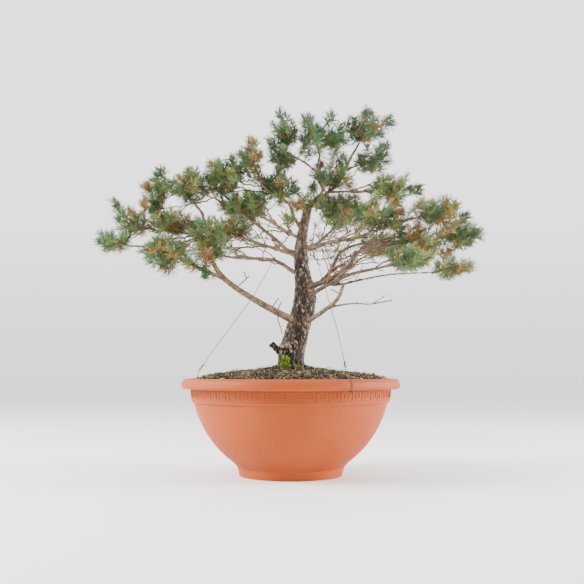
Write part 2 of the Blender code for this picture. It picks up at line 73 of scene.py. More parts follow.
camera = linked("camera", bpy.data.cameras.new("camera"))
camera.data.lens = CAMERA_LENS
camera.data.sensor_width = 36.0
camera.data.clip_start = 0.05
camera.location = CAMERA_PLACE
camera.rotation_euler = (math.pi / 2 + CAMERA_TILT, 0.0, 0.0)
bpy.context.scene.camera = camera


def linear(hex_colour):
    """An sRGB hex colour as a linear RGBA value."""
    channels = [int(hex_colour[i:i + 2], 16) / 255 for i in (1, 3, 5)]
    return (*[c / 12.92 if c <= 0.04045 else ((c + 0.055) / 1.055) ** 2.4 for c in channels], 1.0)


def add(tree, kind, inputs=None, **settings):
    """Adds a node with its settings; each input gets a value, or a link if it is given a socket."""
    node = tree.nodes.new(kind)
    for name, value in settings.items():
        setattr(node, name, value)
    for name, value in (inputs or {}).items():
        if isinstance(value, bpy.types.NodeSocket):
            tree.links.new(value, node.inputs[name])
        else:
            node.inputs[name].default_value = value
    return node


def new_material(name, roughness, **values):
    """A material with a Principled shader; values are more of its sockets, by their names."""
    made = bpy.data.materials.new(name)
    made.use_nodes = True
    shader = made.node_tree.nodes["Principled BSDF"]
    shader.inputs["Roughness"].default_value = roughness
    for socket, value in values.items():
        shader.inputs[socket.replace("_", " ")].default_value = value
    return made, made.node_tree, shader


def ramp(tree, factor, stops):
    """A colour ramp through (position, hex colour) stops; returns its colour socket."""
    node = add(tree, "ShaderNodeValToRGB", {"Fac": factor})
    while len(node.color_ramp.elements) < len(stops):
        node.color_ramp.elements.new(0.5)
    for element, (position, hex_colour) in zip(node.color_ramp.elements, stops):
        element.position = position
        element.color = linear(hex_colour)
    return node.outputs["Color"]


def paint(tree, shader, colour):
    tree.links.new(colour, shader.inputs["Base Color"])


# Matt painted board, with a very faint unevenness.
FLOOR_SIZE = 60.0
floor_paint, tree, shader = new_material("floor_paint", 0.75)
cloud = add(tree, "ShaderNodeTexNoise", {"Scale": 1.5, "Detail": 2.0})
paint(tree, shader, ramp(tree, cloud.outputs["Fac"], [(0.3, "#F4F4F3"), (0.7, "#F8F8F7")]))
floor_bm = bmesh.new()
bmesh.ops.create_grid(floor_bm, x_segments=1, y_segments=1, size=FLOOR_SIZE / 2)
floor = linked("floor", mesh_from(floor_bm, "floor"))
floor.data.materials.append(floor_paint)

# ------------------------------------------------------------------ guy wires
# Soft zinc-coated steel wire, hooked round a limb, pulled tight and twisted on itself at its
# lower end: the left one is anchored in the soil, the right one hooks over the bowl's rim.

RIM_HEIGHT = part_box("bowl")[1][2]
RIM_PLANE = Vector((0.0, 0.0, RIM_HEIGHT))
WIRE_DIAMETER = 0.0012
LEFT_WIRE = [
    (-0.0329, 0.0394, 0.2203), (-0.0309, 0.0423, 0.2226), (-0.0296, 0.0419, 0.2270),
    (-0.0304, 0.0382, 0.2297), (-0.0325, 0.0344, 0.2284), (-0.0345, 0.0332, 0.2240),
    (-0.0365, 0.0325, 0.2178), (-0.0500, 0.0210, 0.1900), (-0.0770, 0.0020, 0.1420),
    (-0.0980, -0.0140, 0.1110), (-0.1200, -0.0310, 0.0790), (-0.1620, -0.0605, 0.0150),
    (-0.1635, -0.0615, -0.0040), (-0.1635, -0.0615, -0.0200)]
RIGHT_WIRE = [
    (0.0432, 0.0661, 0.2467), (0.0385, 0.0675, 0.2490), (0.0368, 0.0659, 0.2538),
    (0.0395, 0.0627, 0.2571), (0.0443, 0.0605, 0.2560), (0.0473, 0.0606, 0.2515),
    (0.0490, 0.0590, 0.2455), (0.0530, 0.0300, 0.2110), (0.0640, -0.0120, 0.1650),
    (0.0730, -0.0500, 0.1230), (0.0820, -0.0880, 0.0830), (0.0920, -0.1450, 0.0200),
    (0.0935, -0.1560, 0.0060), (0.0967, -0.1641, 0.0012), (0.0997, -0.1693, -0.0014),
    (0.1017, -0.1726, -0.0062), (0.1020, -0.1732, -0.0125), (0.1018, -0.1727, -0.0180),
    (0.1002, -0.1702, -0.0202), (0.0977, -0.1659, -0.0200), (0.0963, -0.1634, -0.0155),
    (0.0961, -0.1631, -0.0110)]
TWIST_TURNS = 4
TWIST_LENGTH = 0.013
TWIST_STEPS = 8
# The point of each wire's route, counted from its limb, where the twist starts.
TWIST_FOOT = 11


def mottle(tree, scale, **values):
    """The socket of cloudy noise through the object's own space."""
    place = add(tree, "ShaderNodeTexCoord")
    return add(tree, "ShaderNodeTexNoise", {
        "Vector": place.outputs["Object"], "Scale": scale, **values}).outputs["Fac"]


# Zinc-coated steel: grey and dull, with darker weathered patches a few millimetres long.
zinc_wire, tree, shader = new_material("zinc_wire", 0.55, Metallic=0.8)
paint(tree, shader, ramp(tree, mottle(tree, 180.0), [(0.35, "#33302D"), (0.6, "#66615B")]))


def smooth_route(points, steps=3):
    """Points along a Catmull-Rom curve through the given points."""
    ends = [2 * points[0] - points[1], *points, 2 * points[-1] - points[-2]]
    route = []
    for a, b, c, d in zip(ends, ends[1:], ends[2:], ends[3:]):
        for i in range(steps):
            t = i / steps
            route.append(0.5 * (2 * b + (c - a) * t + (2 * a - 5 * b + 4 * c - d) * t ** 2
                                + (3 * b - a - 3 * c + d) * t ** 3))
    return [*route, points[-1]]


def wire_curve(name, route, diameter):
    """A round wire along a route, with closed ends."""
    curve = bpy.data.curves.new(name, "CURVE")
    curve.dimensions = "3D"
    curve.bevel_depth = diameter / 2
    curve.bevel_resolution = 2
    curve.use_fill_caps = True
    spline = curve.splines.new("POLY")
    spline.points.add(len(route) - 1)
    for point, place_on_route in zip(spline.points, route):
        point.co = (*place_on_route, 1.0)
    curve.materials.append(zinc_wire)
    made = linked(name, curve)
    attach(made, "root")
    return made


def twist_round(name, foot, head):
    """The wire's tail, wound round it from foot towards head."""
    along = (head - foot).normalized()
    side = along.orthogonal().normalized()
    other = along.cross(side)
    turns = []
    for i in range(TWIST_TURNS * TWIST_STEPS + 1):
        angle = 2 * math.pi * i / TWIST_STEPS
        rise = TWIST_LENGTH * i / (TWIST_TURNS * TWIST_STEPS)
        reach = 1.1 * WIRE_DIAMETER
        turns.append(foot + along * rise + reach * (math.cos(angle) * side + math.sin(angle) * other))
    turns.append(turns[-1] + side * 0.004 + along * 0.002)
    return wire_curve(name, turns, WIRE_DIAMETER)


for name, points in (("guy_wire_left", LEFT_WIRE), ("guy_wire_right", RIGHT_WIRE)):
    route = smooth_route([Vector(p) + RIM_PLANE for p in points])
    tight = wire_curve(name + "_tight", route, WIRE_DIAMETER)
    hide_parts(name)
    foot, head = Vector(points[TWIST_FOOT]) + RIM_PLANE, Vector(points[TWIST_FOOT - 1]) + RIM_PLANE
    lower = twist_round(name + "_twist", foot, head)
    length = sum((b - a).length for a, b in zip(route, route[1:]))

# ------------------------------------------------------------------ bowl
# One moulded shell of terracotta-coloured polypropylene: a rolled rim with an open underside, a
# plain band for the relief, a ledge, a round body and a foot with drain holes.

RIM_RADIUS = 0.200
WALL = 0.0045
FLOOR = 0.006
FIT_GAP = 0.0003
BAND_TOP = (0.1835, RIM_HEIGHT - 0.0185)
BAND_LOW = (0.1800, RIM_HEIGHT - 0.0435)
BODY_TOP_RADIUS = 0.1768
FOOT_RADIUS = 0.094
FOOT_TOP = (0.0975, 0.017)
NECK = (0.1045, 0.024)
DRAIN_HOLES = 6
DRAIN_RADIUS = 0.006
DRAIN_CIRCLE = 0.055
BOWL_SEGMENTS = 192


def maths(tree, operation, *values):
    """The socket of a sum done on sockets and numbers."""
    return add(tree, "ShaderNodeMath", dict(enumerate(values)), operation=operation).outputs[0]


def blend(tree, share, first, second):
    """The socket of a mix of two colours."""
    return add(tree, "ShaderNodeMix", {0: share, 6: first, 7: second}, data_type="RGBA").outputs[2]


def new_piece(name, mesh, material, smooth_angle=180):
    """A finished piece at the origin, riding on the one body, sharp only past the angle."""
    made = linked(name, mesh)
    mesh.materials.clear()
    mesh.materials.append(material)
    mesh.shade_smooth()
    if smooth_angle < 180:
        mesh.set_sharp_from_angle(angle=math.radians(smooth_angle))
    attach(made, "root")
    return made


# Moulded polypropylene: satin, warm orange brown, slightly cloudy, with fine scuffs and specks.
terracotta_plastic, tree, shader = new_material(
    "terracotta_polypropylene", 0.60, Specular_IOR_Level=0.22, Subsurface_Weight=0.06)
shader.inputs["Subsurface Radius"].default_value = (0.006, 0.003, 0.0015)
place = add(tree, "ShaderNodeTexCoord")
cloud = mottle(tree, 9.0, Detail=4.0, Roughness=0.6)
base = ramp(tree, cloud, [(0.3, "#9B4218"), (0.55, "#A3491B"), (0.75, "#AB501F")])
speck = add(tree, "ShaderNodeTexVoronoi", {"Vector": place.outputs["Object"], "Scale": 42.0})
spots = ramp(tree, speck.outputs["Distance"], [(0.045, "#FFFFFF"), (0.075, "#000000")])
rare = maths(tree, "GREATER_THAN", speck.outputs["Color"], 0.93)
paint(tree, shader, blend(tree, maths(tree, "MULTIPLY", spots, rare), base, linear("#7E4429")))
relief = add(tree, "ShaderNodeBump", {"Height": mottle(tree, 900.0), "Strength": 0.06,
                                      "Distance": 0.0004})
tree.links.new(relief.outputs["Normal"], shader.inputs["Normal"])


def arc(middle, radii, start, end, steps):
    """Points (radius, height) along a part of an ellipse, angles in degrees from outward to up."""
    turns = [math.radians(start + (end - start) * i / steps) for i in range(steps + 1)]
    return [(middle[0] + radii[0] * math.cos(a), middle[1] + radii[1] * math.sin(a)) for a in turns]


def turned(outline, segments):
    """A closed surface from an outline of (radius, height) points that starts and ends on the axis."""
    bm = bmesh.new()
    rings = []
    for radius, height in outline:
        count = segments if radius > 1e-6 else 1
        steps = [2 * math.pi * i / segments for i in range(count)]
        rings.append([bm.verts.new((radius * math.cos(a), radius * math.sin(a), height)) for a in steps])
    for lower, upper in zip(rings, rings[1:]):
        for i in range(segments):
            corners = [lower[i % len(lower)], lower[(i + 1) % len(lower)],
                       upper[(i + 1) % len(upper)], upper[i % len(upper)]]
            bm.faces.new(list(dict.fromkeys(corners)))
    return bm


def body_arc(inset, steps=22):
    """The round side from the neck up to the band: an arc centred at the rim's height."""
    low, high = RIM_HEIGHT - NECK[1], RIM_HEIGHT - BAND_LOW[1]
    centre = (BODY_TOP_RADIUS ** 2 - NECK[0] ** 2 + high ** 2 - low ** 2) / (
        2 * (BODY_TOP_RADIUS - NECK[0]))
    radius = math.hypot(BODY_TOP_RADIUS - centre, high) - inset
    heights = [low + (high - low) * (i / steps) ** 0.85 for i in range(steps + 1)]
    return [(centre + math.sqrt(radius ** 2 - h ** 2), RIM_HEIGHT - h) for h in heights]


def inside_outline(clearance):
    """The bowl's inside, from the middle of its floor up to the band."""
    inset = WALL + clearance
    return [(0.0, FLOOR + clearance), (FOOT_RADIUS - inset - 0.004, FLOOR + clearance),
            (FOOT_RADIUS - inset, FLOOR + 0.002 + clearance), (FOOT_TOP[0] - inset, FOOT_TOP[1]),
            *body_arc(inset)]


def band_radius(height):
    share = (height - BAND_LOW[1]) / (BAND_TOP[1] - BAND_LOW[1])
    return BAND_LOW[0] + (BAND_TOP[0] - BAND_LOW[0]) * share


SKIRT = 0.0036
LIP_HEIGHT = 0.0060
NOSE_SIZE = (0.009, 0.0117)
NOSE = (RIM_RADIUS - NOSE_SIZE[0], RIM_HEIGHT - NOSE_SIZE[1])
BORDER_HEIGHT = BAND_LOW[1] + 0.0042
shell_outline = [
    (0.0, 0.0),
    *arc((FOOT_RADIUS - 0.0025, 0.0025), (0.0025, 0.0025), -90, 0, 5),
    (FOOT_TOP[0] - 0.0004, FOOT_TOP[1] - 0.003),
    *arc((FOOT_TOP[0] + 0.0021, FOOT_TOP[1] - 0.002), (0.0024, 0.0024), 180, 110, 4),
    *body_arc(0.0),
    *arc((BAND_LOW[0] - 0.0012, BAND_LOW[1] + 0.0012), (0.0012, 0.0012), -80, 0, 4),
    *arc((band_radius(BORDER_HEIGHT), BORDER_HEIGHT), (0.0005, 0.0008), -80, 80, 6),
    BAND_TOP,
    (BAND_TOP[0], RIM_HEIGHT - 0.006),
    *arc((BAND_TOP[0] + 0.0015, RIM_HEIGHT - 0.006), (0.0015, 0.0015), 180, 90, 4),
    (RIM_RADIUS - 2.2 * SKIRT, RIM_HEIGHT - WALL),
    (RIM_RADIUS - 1.2 * SKIRT, RIM_HEIGHT - 2.2 * WALL),
    (RIM_RADIUS - 1.2 * SKIRT, BAND_TOP[1]),
    *arc((RIM_RADIUS - 1.1 * SKIRT, BAND_TOP[1] + LIP_HEIGHT), (1.1 * SKIRT, LIP_HEIGHT), -90, 0, 9),
    *arc(NOSE, NOSE_SIZE, 0, 90, 14),
    (BAND_TOP[0] - WALL + 0.0025, RIM_HEIGHT),
    *arc((BAND_TOP[0] - WALL + 0.0025, RIM_HEIGHT - 0.0025), (0.0025, 0.0025), 90, 180, 5)[1:],
    (BAND_LOW[0] - WALL, BAND_LOW[1] + 0.005),
    *reversed(inside_outline(0.0))]
shell_bm = turned(shell_outline, BOWL_SEGMENTS)
bmesh.ops.recalc_face_normals(shell_bm, faces=shell_bm.faces)
shell = linked("bowl_shell", mesh_from(shell_bm, "bowl_shell"))

hole_bm = bmesh.new()
for i in range(DRAIN_HOLES):
    angle = 2 * math.pi * (i + 0.5) / DRAIN_HOLES
    drill = bmesh.ops.create_cone(hole_bm, cap_ends=True, segments=32, radius1=DRAIN_RADIUS,
                                  radius2=DRAIN_RADIUS, depth=0.03)
    bmesh.ops.translate(hole_bm, verts=drill["verts"],
                        vec=(DRAIN_CIRCLE * math.cos(angle), DRAIN_CIRCLE * math.sin(angle), 0.0))
holes = linked("drain_holes", mesh_from(hole_bm, "drain_holes"))


def baked(made):
    """The plain mesh that an object's modifiers make; the object and its modifiers are removed."""
    bpy.context.view_layer.update()
    depsgraph = bpy.context.evaluated_depsgraph_get()
    mesh = bpy.data.meshes.new_from_object(made.evaluated_get(depsgraph), depsgraph=depsgraph)
    bpy.data.objects.remove(made)
    return mesh


cut = shell.modifiers.new("drain_holes", "BOOLEAN")
cut.operation = "DIFFERENCE"
cut.solver = "EXACT"
cut.object = holes
bowl_shell = new_piece("bowl_moulding", baked(shell), terracotta_plastic, 32)
bpy.data.objects.remove(holes)
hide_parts("bowl")

# ------------------------------------------------------------------ key pattern on the band
# A low meander moulded on the band, shallow and soft-edged. One flat unit is repeated along a
# line, which is then rolled round the band's cone.

KEY_UNITS = 52
KEY_LOW = BORDER_HEIGHT + 0.0030
KEY_CELL = 0.0036
KEY_LINE = 0.0017
KEY_PROUD = 0.00085
KEY_ROOT = 0.0012
KEY_BEVEL = 0.28
KEY_TURNS = [(0, 0), (6, 0)], [(0, 0), (0, 4), (4, 4), (4, 1.2), (1.8, 1.2), (1.8, 2.8), (2.9, 2.8)]
KEY_PITCH = 2 * math.pi * band_radius(KEY_LOW + 2 * KEY_CELL) / KEY_UNITS


def geometry_tree(name, **inputs):
    """A Geometry Nodes tree that takes and gives geometry, with more inputs given as kinds."""
    tree = bpy.data.node_groups.new(name, "GeometryNodeTree")
    tree.interface.new_socket("Geometry", in_out="OUTPUT", socket_type="NodeSocketGeometry")
    for label, kind in {"Geometry": "Geometry", **inputs}.items():
        tree.interface.new_socket(label, in_out="INPUT", socket_type="NodeSocket" + kind)
    return tree, tree.nodes.new("NodeGroupInput").outputs, tree.nodes.new("NodeGroupOutput").inputs


def grown(mesh, tree, **values):
    """The plain mesh that a Geometry Nodes tree makes of a mesh, with these values of its inputs."""
    holder = linked("holder", mesh)
    nodes_modifier = holder.modifiers.new("grow", "NODES")
    nodes_modifier.node_group = tree
    for socket in tree.interface.items_tree:
        if socket.in_out == "INPUT" and socket.name in values:
            nodes_modifier[socket.identifier] = values[socket.name]
    return baked(holder)


key_bm = bmesh.new()
for turn in KEY_TURNS:
    for (x1, z1), (x2, z2) in zip(turn, turn[1:]):
        bar = bmesh.ops.create_cube(key_bm, size=1.0)["verts"]
        wide = abs(x2 - x1) * KEY_PITCH / 6 + KEY_LINE
        tall = abs(z2 - z1) * KEY_CELL + KEY_LINE
        for vertex in bar:
            inset = KEY_LINE * KEY_BEVEL if vertex.co.y > 0 else 0.0
            vertex.co = Vector(((x1 + x2) / 2 * KEY_PITCH / 6 + vertex.co.x * (wide - inset),
                                KEY_PROUD if vertex.co.y > 0 else -KEY_ROOT,
                                (z1 + z2) / 2 * KEY_CELL + vertex.co.z * (tall - inset)))
key_mesh = mesh_from(key_bm, "key_unit")

tree, given, result = geometry_tree("key_pattern", Units="Int", Pitch="Float", Low="Float",
                                    Radius="Float", Slope="Float", Plastic="Material")
offset = add(tree, "ShaderNodeCombineXYZ", {0: given["Pitch"]})
line = add(tree, "GeometryNodeMeshLine", {"Count": given["Units"], "Offset": offset.outputs[0]})
copies = add(tree, "GeometryNodeInstanceOnPoints", {"Points": line.outputs[0],
                                                    "Instance": given["Geometry"]})
flat = add(tree, "GeometryNodeRealizeInstances", {0: copies.outputs[0]})
spot = add(tree, "ShaderNodeSeparateXYZ", {0: add(tree, "GeometryNodeInputPosition").outputs[0]})
total = maths(tree, "MULTIPLY", given["Units"], given["Pitch"])
angle = maths(tree, "MULTIPLY", maths(tree, "DIVIDE", spot.outputs["X"], total), 2 * math.pi)
lean = maths(tree, "MULTIPLY_ADD", spot.outputs["Z"], given["Slope"], given["Radius"])
reach = maths(tree, "ADD", lean, spot.outputs["Y"])
sides = [maths(tree, "MULTIPLY", maths(tree, kind, angle), reach) for kind in ("COSINE", "SINE")]
height = maths(tree, "ADD", spot.outputs["Z"], given["Low"])
rolled = add(tree, "ShaderNodeCombineXYZ", {0: sides[0], 1: sides[1], 2: height})
placed = add(tree, "GeometryNodeSetPosition", {"Geometry": flat.outputs[0],
                                               "Position": rolled.outputs[0]})
coated = add(tree, "GeometryNodeSetMaterial", {"Geometry": placed.outputs[0],
                                               "Material": given["Plastic"]})
tree.links.new(coated.outputs[0], result[0])

slope = (BAND_TOP[0] - BAND_LOW[0]) / (BAND_TOP[1] - BAND_LOW[1])
key_ring = grown(key_mesh, tree, Units=KEY_UNITS, Pitch=KEY_PITCH, Low=KEY_LOW,
                 Radius=band_radius(KEY_LOW), Slope=slope, Plastic=terracotta_plastic)
ring_bm = bmesh.new()
ring_bm.from_mesh(key_ring)
bmesh.ops.recalc_face_normals(ring_bm, faces=ring_bm.faces)
ring_bm.to_mesh(key_ring)
ring_bm.free()
key_relief = new_piece("key_relief", key_ring, terracotta_plastic, 30)

# ------------------------------------------------------------------ soil
# Bark-rich potting mix filling the bowl and heaped round the trunk, covered with loose bits of
# bark, pale grit, dry roots and strands of moss, all simply lying where they fell.

SOIL_EDGE = BAND_TOP[0] - WALL - FIT_GAP
MOUND_HEIGHT = 0.027
EDGE_DEPTH = 0.004
SOIL_RINGS = 72
SOIL_SEGMENTS = 240
FLARE_RADIUS = 0.045


def soil_top(radius):
    """How high the mound stands over the rim's plane at a distance from the trunk."""
    share = min(radius / SOIL_EDGE, 1.0)
    near_trunk = math.exp(-((radius / FLARE_RADIUS) ** 2))
    return MOUND_HEIGHT * (0.62 * (1 - 0.55 * share) * (1 - share ** 6) + 0.38 * near_trunk) - (
        EDGE_DEPTH * share ** 6)


# Damp peat and bark dust: nearly black brown, with paler crumbs.
soil_mix, tree, shader = new_material("potting_soil", 0.95)
paint(tree, shader, ramp(tree, mottle(tree, 420.0, Detail=3.0), [
    (0.3, "#1B130E"), (0.55, "#3A2A1E"), (0.75, "#6E5A43")]))

soil_bm = turned(
    [*inside_outline(FIT_GAP), (BAND_LOW[0] - WALL - FIT_GAP, BAND_LOW[1] + 0.005),
     *[(SOIL_EDGE * (1 - i / SOIL_RINGS), RIM_HEIGHT + soil_top(SOIL_EDGE * (1 - i / SOIL_RINGS)))
       for i in range(SOIL_RINGS + 1)]], SOIL_SEGMENTS)
for vertex in soil_bm.verts:
    inside = math.hypot(vertex.co.x, vertex.co.y) < SOIL_EDGE - 0.001
    if inside and vertex.co.z > RIM_HEIGHT - EDGE_DEPTH:
        vertex.co.z += (0.0020 * noise.noise(vertex.co * 40.0) + 0.0016 * noise.noise(vertex.co * 150.0)
                        + 0.0011 * noise.noise(vertex.co * 420.0))
bmesh.ops.recalc_face_normals(soil_bm, faces=soil_bm.faces)
top_bm = soil_bm.copy()
soil_mesh = mesh_from(soil_bm, "soil_mound")
hidden_faces = [face for face in top_bm.faces if face.calc_center_median().z < RIM_HEIGHT - EDGE_DEPTH]
bmesh.ops.delete(top_bm, geom=hidden_faces, context="FACES")
soil_surface = mesh_from(top_bm, "soil_surface")
soil = new_piece("soil_mound", soil_mesh, soil_mix)
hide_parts("soil")


def toned_material(name, roughness, stops, **values):
    """A material whose colour follows the tone of each spot along a colour ramp."""
    made, tree, shader = new_material(name, roughness, **values)
    tone = add(tree, "ShaderNodeAttribute", attribute_name="tone")
    paint(tree, shader, ramp(tree, tone.outputs["Fac"], stops))
    return made, shader


# Loose bits: each takes its colour from where it falls in a range from black bark to pale grit.
loose_bits, _ = toned_material("bark_and_grit", 0.9, [
    (0.0, "#0F0B08"), (0.44, "#20160F"), (0.68, "#422E1F"), (0.84, "#6C4D36"), (0.95, "#947559"),
    (1.0, "#B8A58A")])

# Moss and dry grass: olive to straw.
moss, _ = toned_material("moss_strands", 0.85, [
    (0.0, "#25260F"), (0.4, "#474818"), (0.70, "#6E692A"), (0.90, "#9C8B4C"), (1.0, "#C2B183")])


def chip_mesh(name, size, jitter, seed):
    """A rough lump of a given length, width and thickness, lying on its widest side."""
    bm = bmesh.new()
    bmesh.ops.create_icosphere(bm, subdivisions=1, radius=0.5)
    chance = random.Random(seed)
    for vertex in bm.verts:
        knock = Vector([chance.uniform(-jitter, jitter) for _ in range(3)])
        vertex.co = Vector(a * b for a, b in zip(vertex.co + knock, size))
    return mesh_from(bm, name)


def strand_mesh(name, length, width, bend):
    """A thin three-sided strand lying along X, bent sideways and arched a little."""
    bm = bmesh.new()
    rings = []
    for i in range(5):
        t = i / 4
        middle = Vector(((t - 0.5) * length, bend * length * math.sin(2.4 * t),
                         0.16 * length * math.sin(math.pi * t)))
        half = width * (0.5 - 0.3 * t)
        rings.append([bm.verts.new(middle + half * Vector((0.0, math.cos(a), math.sin(a))))
                      for a in (0.5, 2.6, 4.7)])
    for lower, upper in zip(rings, rings[1:]):
        for k in range(3):
            bm.faces.new((lower[k], upper[k], upper[(k + 1) % 3], lower[(k + 1) % 3]))
    bm.faces.new(rings[0])
    bm.faces.new(reversed(rings[-1]))
    bmesh.ops.recalc_face_normals(bm, faces=bm.faces)
    return mesh_from(bm, name)


def random_value(tree, seed, low, high):
    """The socket of a random value between low and high."""
    values = {2: low, 3: high, "Seed": seed}
    return add(tree, "FunctionNodeRandomValue", values, data_type="FLOAT").outputs[1]


def finish_copies(tree, copies, tone, cover, result):
    """The last steps for a tree's copies: each gets a tone, then they become one coated mesh."""
    toned = add(tree, "GeometryNodeStoreNamedAttribute", {
        "Geometry": copies, "Name": "tone", "Value": tone}, data_type="FLOAT", domain="INSTANCE")
    real = add(tree, "GeometryNodeRealizeInstances", {0: toned.outputs[0]})
    coated = add(tree, "GeometryNodeSetMaterial", {"Geometry": real.outputs[0], "Material": cover})
    tree.links.new(coated.outputs[0], result[0])


# Scatters one shape over a surface, lying flat but tilted, spun and sized at random, with a tone.
scatter, given, result = geometry_tree("scatter", Shape="Object", Density="Float", Spacing="Float",
                                       Tilt="Float", Low="Float", High="Float", Lift="Float",
                                       Seed="Int", Cover="Material")
spots = add(scatter, "GeometryNodeDistributePointsOnFaces", {
    "Mesh": given["Geometry"], "Distance Min": given["Spacing"], "Density Max": given["Density"],
    "Seed": given["Seed"]}, distribute_method="POISSON")
tilt_low = maths(scatter, "MULTIPLY", given["Tilt"], -1.0)
turn = add(scatter, "ShaderNodeCombineXYZ", {
    0: random_value(scatter, 3, tilt_low, given["Tilt"]),
    1: random_value(scatter, 4, tilt_low, given["Tilt"]), 2: random_value(scatter, 5, 0.0, 6.283)})
turned_by = add(scatter, "FunctionNodeEulerToRotation", {0: turn.outputs[0]})
shape = add(scatter, "GeometryNodeObjectInfo", {"Object": given["Shape"]})
copies = add(scatter, "GeometryNodeInstanceOnPoints", {
    "Points": spots.outputs["Points"], "Instance": shape.outputs["Geometry"],
    "Rotation": turned_by.outputs[0], "Scale": random_value(scatter, 6, given["Low"], given["High"])})
lift = add(scatter, "ShaderNodeCombineXYZ", {2: given["Lift"]})
lifted = add(scatter, "GeometryNodeTranslateInstances", {
    "Instances": copies.outputs[0], "Translation": lift.outputs[0], "Local Space": False})
finish_copies(scatter, lifted.outputs[0], random_value(scatter, 7, 0.0, 1.0), given["Cover"], result)


def scattered(name, surface, shape_mesh, cover, **values):
    """A piece made of copies of one shape lying on a surface."""
    shape = bpy.data.objects.new(name + "_shape", shape_mesh)
    made = new_piece(name, grown(surface, scatter, Shape=shape, Cover=cover, **values), cover)
    bpy.data.objects.remove(shape)
    return made


for name, size, jitter, cover, density, spacing, low, high, seed in (
        ("bark_chips", (0.0085, 0.0052, 0.0030), 0.13, loose_bits, 20000, 0.0048, 0.5, 1.25, 1),
        ("bark_slivers", (0.0120, 0.0022, 0.0016), 0.12, loose_bits, 12000, 0.0055, 0.6, 1.3, 2),
        ("soil_grit", (0.0034, 0.0030, 0.0024), 0.10, loose_bits, 30000, 0.0034, 0.5, 1.2, 3)):
    bits = scattered(name, soil_surface, chip_mesh(name, size, jitter, seed), cover, Density=density,
                     Spacing=spacing, Tilt=0.55, Low=low, High=high, Lift=0.0008, Seed=seed)
for name, length, width, bend, density, spacing, seed in (
        ("moss_strands", 0.0075, 0.0009, 0.20, 16000, 0.0036, 4),
        ("dry_roots", 0.0150, 0.0008, 0.35, 5000, 0.0075, 5)):
    strands = scattered(name, soil_surface, strand_mesh(name, length, width, bend), moss,
                        Density=density, Spacing=spacing, Tilt=0.75, Low=0.5, High=1.3,
                        Lift=0.0014, Seed=seed)

# ------------------------------------------------------------------ weed
# A tuft of low green weed at the foot of the trunk with a small one beside it, and two sprouts
# near the bowl's right wall, all rooted in the soil: thin leaves that rise and arch outward.

weed_low, weed_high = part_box("weed_tuft")
weed_leaf, shader = toned_material("weed_leaf", 0.6, [
    (0.0, "#4A6B0E"), (0.45, "#759416"), (0.8, "#A0B02C"), (1.0, "#C2BE5C")], Subsurface_Weight=0.15)
shader.inputs["Subsurface Radius"].default_value = (0.002, 0.003, 0.001)
LEAF_RINGS = 5


def add_leaf(bm, layer, foot, out, rise, length, width, tone_value):
    """One arching leaf of a width that swells and then narrows to a point."""
    side = Vector((-out.y, out.x, 0.0)).normalized() * width / 2
    rows = []
    for i in range(LEAF_RINGS + 1):
        t = i / LEAF_RINGS
        middle = foot + length * (out * (t * 0.35 + 0.45 * t * t) + Vector((0, 0, rise * (t - 0.42 * t * t))))
        spread = side * max(math.sin(math.pi * (0.12 + 0.88 * t)), 0.06)
        keel = Vector((0.0, 0.0, -0.25 * spread.length))
        rows.append([bm.verts.new(middle + shift) for shift in (-spread, keel, spread)])
    for lower, upper in zip(rows, rows[1:]):
        for k in range(2):
            bm.faces.new((lower[k], lower[k + 1], upper[k + 1], upper[k]))
    for row in rows:
        for vertex in row:
            vertex[layer] = tone_value


chance = random.Random(31)
weed_bm = bmesh.new()
tone_layer = weed_bm.verts.layers.float.new("tone")
weed_middle = (weed_low + weed_high) / 2
tufts = [(Vector((weed_middle.x, weed_middle.y, weed_low.z + 0.004)), (weed_high - weed_low) / 2, 150),
         (Vector((weed_middle.x + 0.001, weed_middle.y + 0.004, weed_middle.z)),
          Vector((0.010, 0.005, 0.014)), 110),
         (Vector((0.014, -0.034, RIM_HEIGHT + 0.017)), Vector((0.006, 0.005, 0.006)), 34),
         (Vector((0.151, -0.030, RIM_HEIGHT + 0.002)), Vector((0.004, 0.004, 0.008)), 9),
         (Vector((0.168, -0.020, RIM_HEIGHT - 0.001)), Vector((0.004, 0.004, 0.007)), 8)]
for middle, half, count in tufts:
    for i in range(count):
        turn = chance.uniform(0, 2 * math.pi)
        out = Vector((math.cos(turn), math.sin(turn), 0.0))
        spread = math.sqrt(chance.random()) * 0.75
        foot = middle + Vector((out.x * half.x * spread, out.y * half.y * spread,
                                chance.uniform(-0.2, 0.9) * half.z * (1.0 - spread)))
        add_leaf(weed_bm, tone_layer, foot, out, chance.uniform(0.7, 1.5), chance.uniform(0.005, 0.0095),
                 chance.uniform(0.0014, 0.0026), chance.random())
weed = new_piece("weed_leaves", mesh_from(weed_bm, "weed_leaves"), weed_leaf)
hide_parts("weed_tuft")

# ------------------------------------------------------------------ trunk and limbs
# Old pine wood grown in one piece, so the trunk, its sawn stubs and all the limbs share one skin:
# thick flaking plates on the trunk, thinner and smoother bark on the limbs and leaders.

WOOD_GRAIN = 0.00138
PLATE_DEPTH = 0.0023
LIMB_DEPTH = 0.0010
# Three far places in the noise, so that the three parts of a shift don't follow each other.
WANDER_SHIFTS = Vector((0.0, 0.0, 0.0)), Vector((17.3, 5.1, 9.7)), Vector((3.9, 21.7, 13.1))
PLATES_PER_METRE = Vector((205.0, 205.0, 108.0))
FLAKES_PER_METRE = Vector((390.0, 390.0, 240.0))
limb_names = sorted(name for name in nodes if name.startswith(("limb_", "leader_")))


def surface_of(names):
    """A search tree over the surfaces of some CAD nodes."""
    corners, faces = [], []
    for name in names:
        start = len(corners)
        corners.extend(vertex.co.copy() for vertex in nodes[name].data.vertices)
        faces.extend([start + i for i in face.vertices] for face in nodes[name].data.polygons)
    return BVHTree.FromPolygons(corners, faces)


